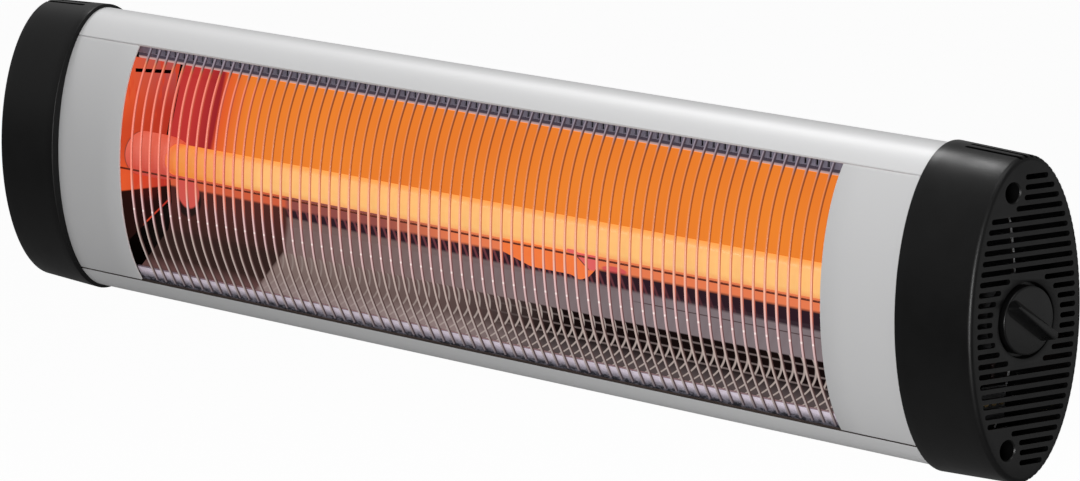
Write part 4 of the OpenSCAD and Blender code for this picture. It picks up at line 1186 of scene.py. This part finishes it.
neck, flange, bore = gland["neck"], gland["flange"], gland["bore"]
foot, top = -gland["neckDepth"], gland["flangeDepth"]
glandProfile = [
    (foot, bore), (foot, neck - 0.8), (foot + 0.8, neck), (-0.1, neck), (0, neck), (0, flange), (1.2, flange),
    (top - 0.4, flange - 0.5), (top, flange - 1.6), (top, bore + 1.0), (top - 0.3, bore + 0.3),
    (top - 0.8, bore)]
glandForm = Form().turn(at(gland["x"], gland["pad"], 0), (0, 1, 0), glandProfile, 72, True)
newPiece("cableGland", glandForm, capPlastic, stands=("cable_gland",))

insert = {
    "flange": 7.0, "flangeDepth": 1.2, "flangeRound": 0.3, "barrel": 4.5, "barrelRound": 0.4, "length": 13.0,
    "bore": 3.2, "mouth": 0.5, "threadFrom": 0.3, "threadStep": 0.5, "threadDepth": 0.35, "threads": 25}
length, flangeDepth = -insert["length"], -insert["flangeDepth"]
profile = [
    (0, insert["bore"] + insert["mouth"]), (0, insert["flange"] - insert["flangeRound"]),
    (-insert["flangeRound"], insert["flange"]), (flangeDepth, insert["flange"]),
    (flangeDepth, insert["barrel"]), (length + insert["barrelRound"], insert["barrel"]),
    (length, insert["barrel"] - insert["barrelRound"]), (length, insert["bore"] + insert["threadFrom"])]
for j in range(insert["threads"]):
    height = length + insert["threadFrom"] + j * insert["threadStep"]
    profile.append((height, insert["bore"] + insert["threadDepth"] * (j % 2)))
inserts = Form()
for side in (-1, 1):
    inserts.turn(Vector((side * shell["insertSpan"] / 2 * mm, 0, 0)), (0, 1, 0), profile, 48, True)
newPiece("wallInserts", inserts, zincFinish, stands=("wall_inserts",))
print("screws, gland and inserts made")


# Parts that stay as they are

# the bulkheads take the painted shade sheet, so the caps look dark inside
carried = {
    "back_ribs": innerSheet, "channel_left": innerSheet, "channel_right": innerSheet,
    "bulkhead_left": paintedShadeSheet, "bulkhead_right": paintedShadeSheet, "switch_spindle": zincFinish,
    "rotary_switch": switchPlastic, "switch_spades": brassFinish, "bush_nut": zincFinish,
    "gland_nut": capPlastic, "terminal_block": switchPlastic, "terminal_screws": brassFinish,
    "lead_left": leadSleeve, "lead_right": leadSleeve, "lead_switch": leadSleeve}
for name, finish in carried.items():
    mesh = nodes[name].data
    if mesh.materials:
        for i in range(len(mesh.materials)):
            mesh.materials[i] = finish
    else:
        mesh.materials.append(finish)
print("carried parts finished")


# Floor, light and camera

studio = {"floorZ": -0.9, "floorReach": 90.0, "floorTone": 0.28, "floorShare": 0.86, "fill": 0.34}
lamps = {  # name: place, target, size and power
    "overhead": ((0.4, -1.0, 2.6), (0, -0.04, 0), (2.6, 1.6), 23.0),
    "fromRight": ((2.2, -2.6, 0.1), (0.3, -0.04, 0), (0.35, 0.9), 20.0),
    "fromFront": ((1.3, -1.4, -0.1), (0.3, -0.04, 0), (0.7, 0.4), 11.0),
    "rearRight": ((3.0, 1.9, -0.35), (0.4, -0.04, 0), (3.0, 1.1), 7.0),
    "upperRight": ((1.8, -0.75, 1.9), (0.4, -0.04, 0), (0.3, 0.3), 1.5),
    "rearLeft": ((-1.5, -0.03, 1.95), (0.3, -0.04, 0), (0.4, 0.4), 15.0)}
shaded = ("fromRight", "fromFront")  # lamps that the reflector would show as white bars
view = {
    "place": (2.70655, -2.34769, 0.55241), "turn": 49.11, "drop": 9.02, "roll": 0.57, "lens": 201.48,
    "sensor": 36.0, "farthest": 200.0}


def softLamp(name, place, target, size, power):
    light = bpy.data.lights.new(name, "AREA")
    light.shape = "RECTANGLE"
    light.size, light.size_y = size
    light.energy = power
    lamp = bpy.data.objects.new(name, light)
    bpy.context.scene.collection.objects.link(lamp)
    lamp.location = place
    lamp.rotation_mode = "QUATERNION"
    lamp.rotation_quaternion = (Vector(target) - lamp.location).to_track_quat("-Z", "Y")
    return lamp


def seenRay(tree):  # 1 for what the camera sees, also through glass
    outs = tree.node("ShaderNodeLightPath").socket.node.outputs
    return Line(tree, outs["Is Camera Ray"]).bigger(Line(tree, outs["Is Transmission Ray"]))


reach, floorZ, tone = studio["floorReach"], studio["floorZ"], studio["floorTone"]
floorMesh = bpy.data.meshes.new("floor")
floorMesh.from_pydata(
    [(-reach, -reach, floorZ), (reach, -reach, floorZ), (reach, reach, floorZ), (-reach, reach, floorZ)], [],
    [(0, 1, 2, 3)])
floor = bpy.data.objects.new("floor", floorMesh)
bpy.context.scene.collection.objects.link(floor)
floorFinish = Finish("paleFloor", roughness=0.9, baseColor=(tone, tone, tone), emissionStrength=1.0)
floorFinish.set("emissionColor", floorFinish.tint(seenRay(floorFinish) * studio["floorShare"], (1, 1, 1)))
floorMesh.materials.append(floorFinish.material)

world = bpy.data.worlds.new("studioAir")
world.use_nodes = True
bpy.context.scene.world = world
background = world.node_tree.nodes["Background"]
background.inputs["Color"].default_value = (1, 1, 1, 1)
air = NodeTree(world.node_tree)
air.fill(background.inputs["Strength"], seenRay(air) * (1 - studio["fill"]) + studio["fill"])

unlit = bpy.data.collections.new("unlitBySomeLamps")
unlit.objects.link(reflectorPiece)
unlit.collection_objects[0].light_linking.link_state = "EXCLUDE"
for name, (place, target, size, power) in lamps.items():
    lamp = softLamp(name, place, target, size, power)
    if name in shaded:
        lamp.light_linking.receiver_collection = unlit

lens = bpy.data.cameras.new("camera")
lens.lens = view["lens"]
lens.sensor_width = view["sensor"]
lens.clip_end = view["farthest"]
camera = bpy.data.objects.new("camera", lens)
bpy.context.scene.collection.objects.link(camera)
camera.location = view["place"]
camera.rotation_mode = "QUATERNION"
camera.rotation_quaternion = (
    Matrix.Rotation(math.radians(view["turn"]), 3, "Z")
    @ Matrix.Rotation(math.radians(90 - view["drop"]), 3, "X")
    @ Matrix.Rotation(math.radians(view["roll"]), 3, "Z")).to_quaternion()
bpy.context.scene.camera = camera
bpy.context.scene.view_settings.view_transform = "Standard"
print("studio ready")

bpy.context.view_layer.update()
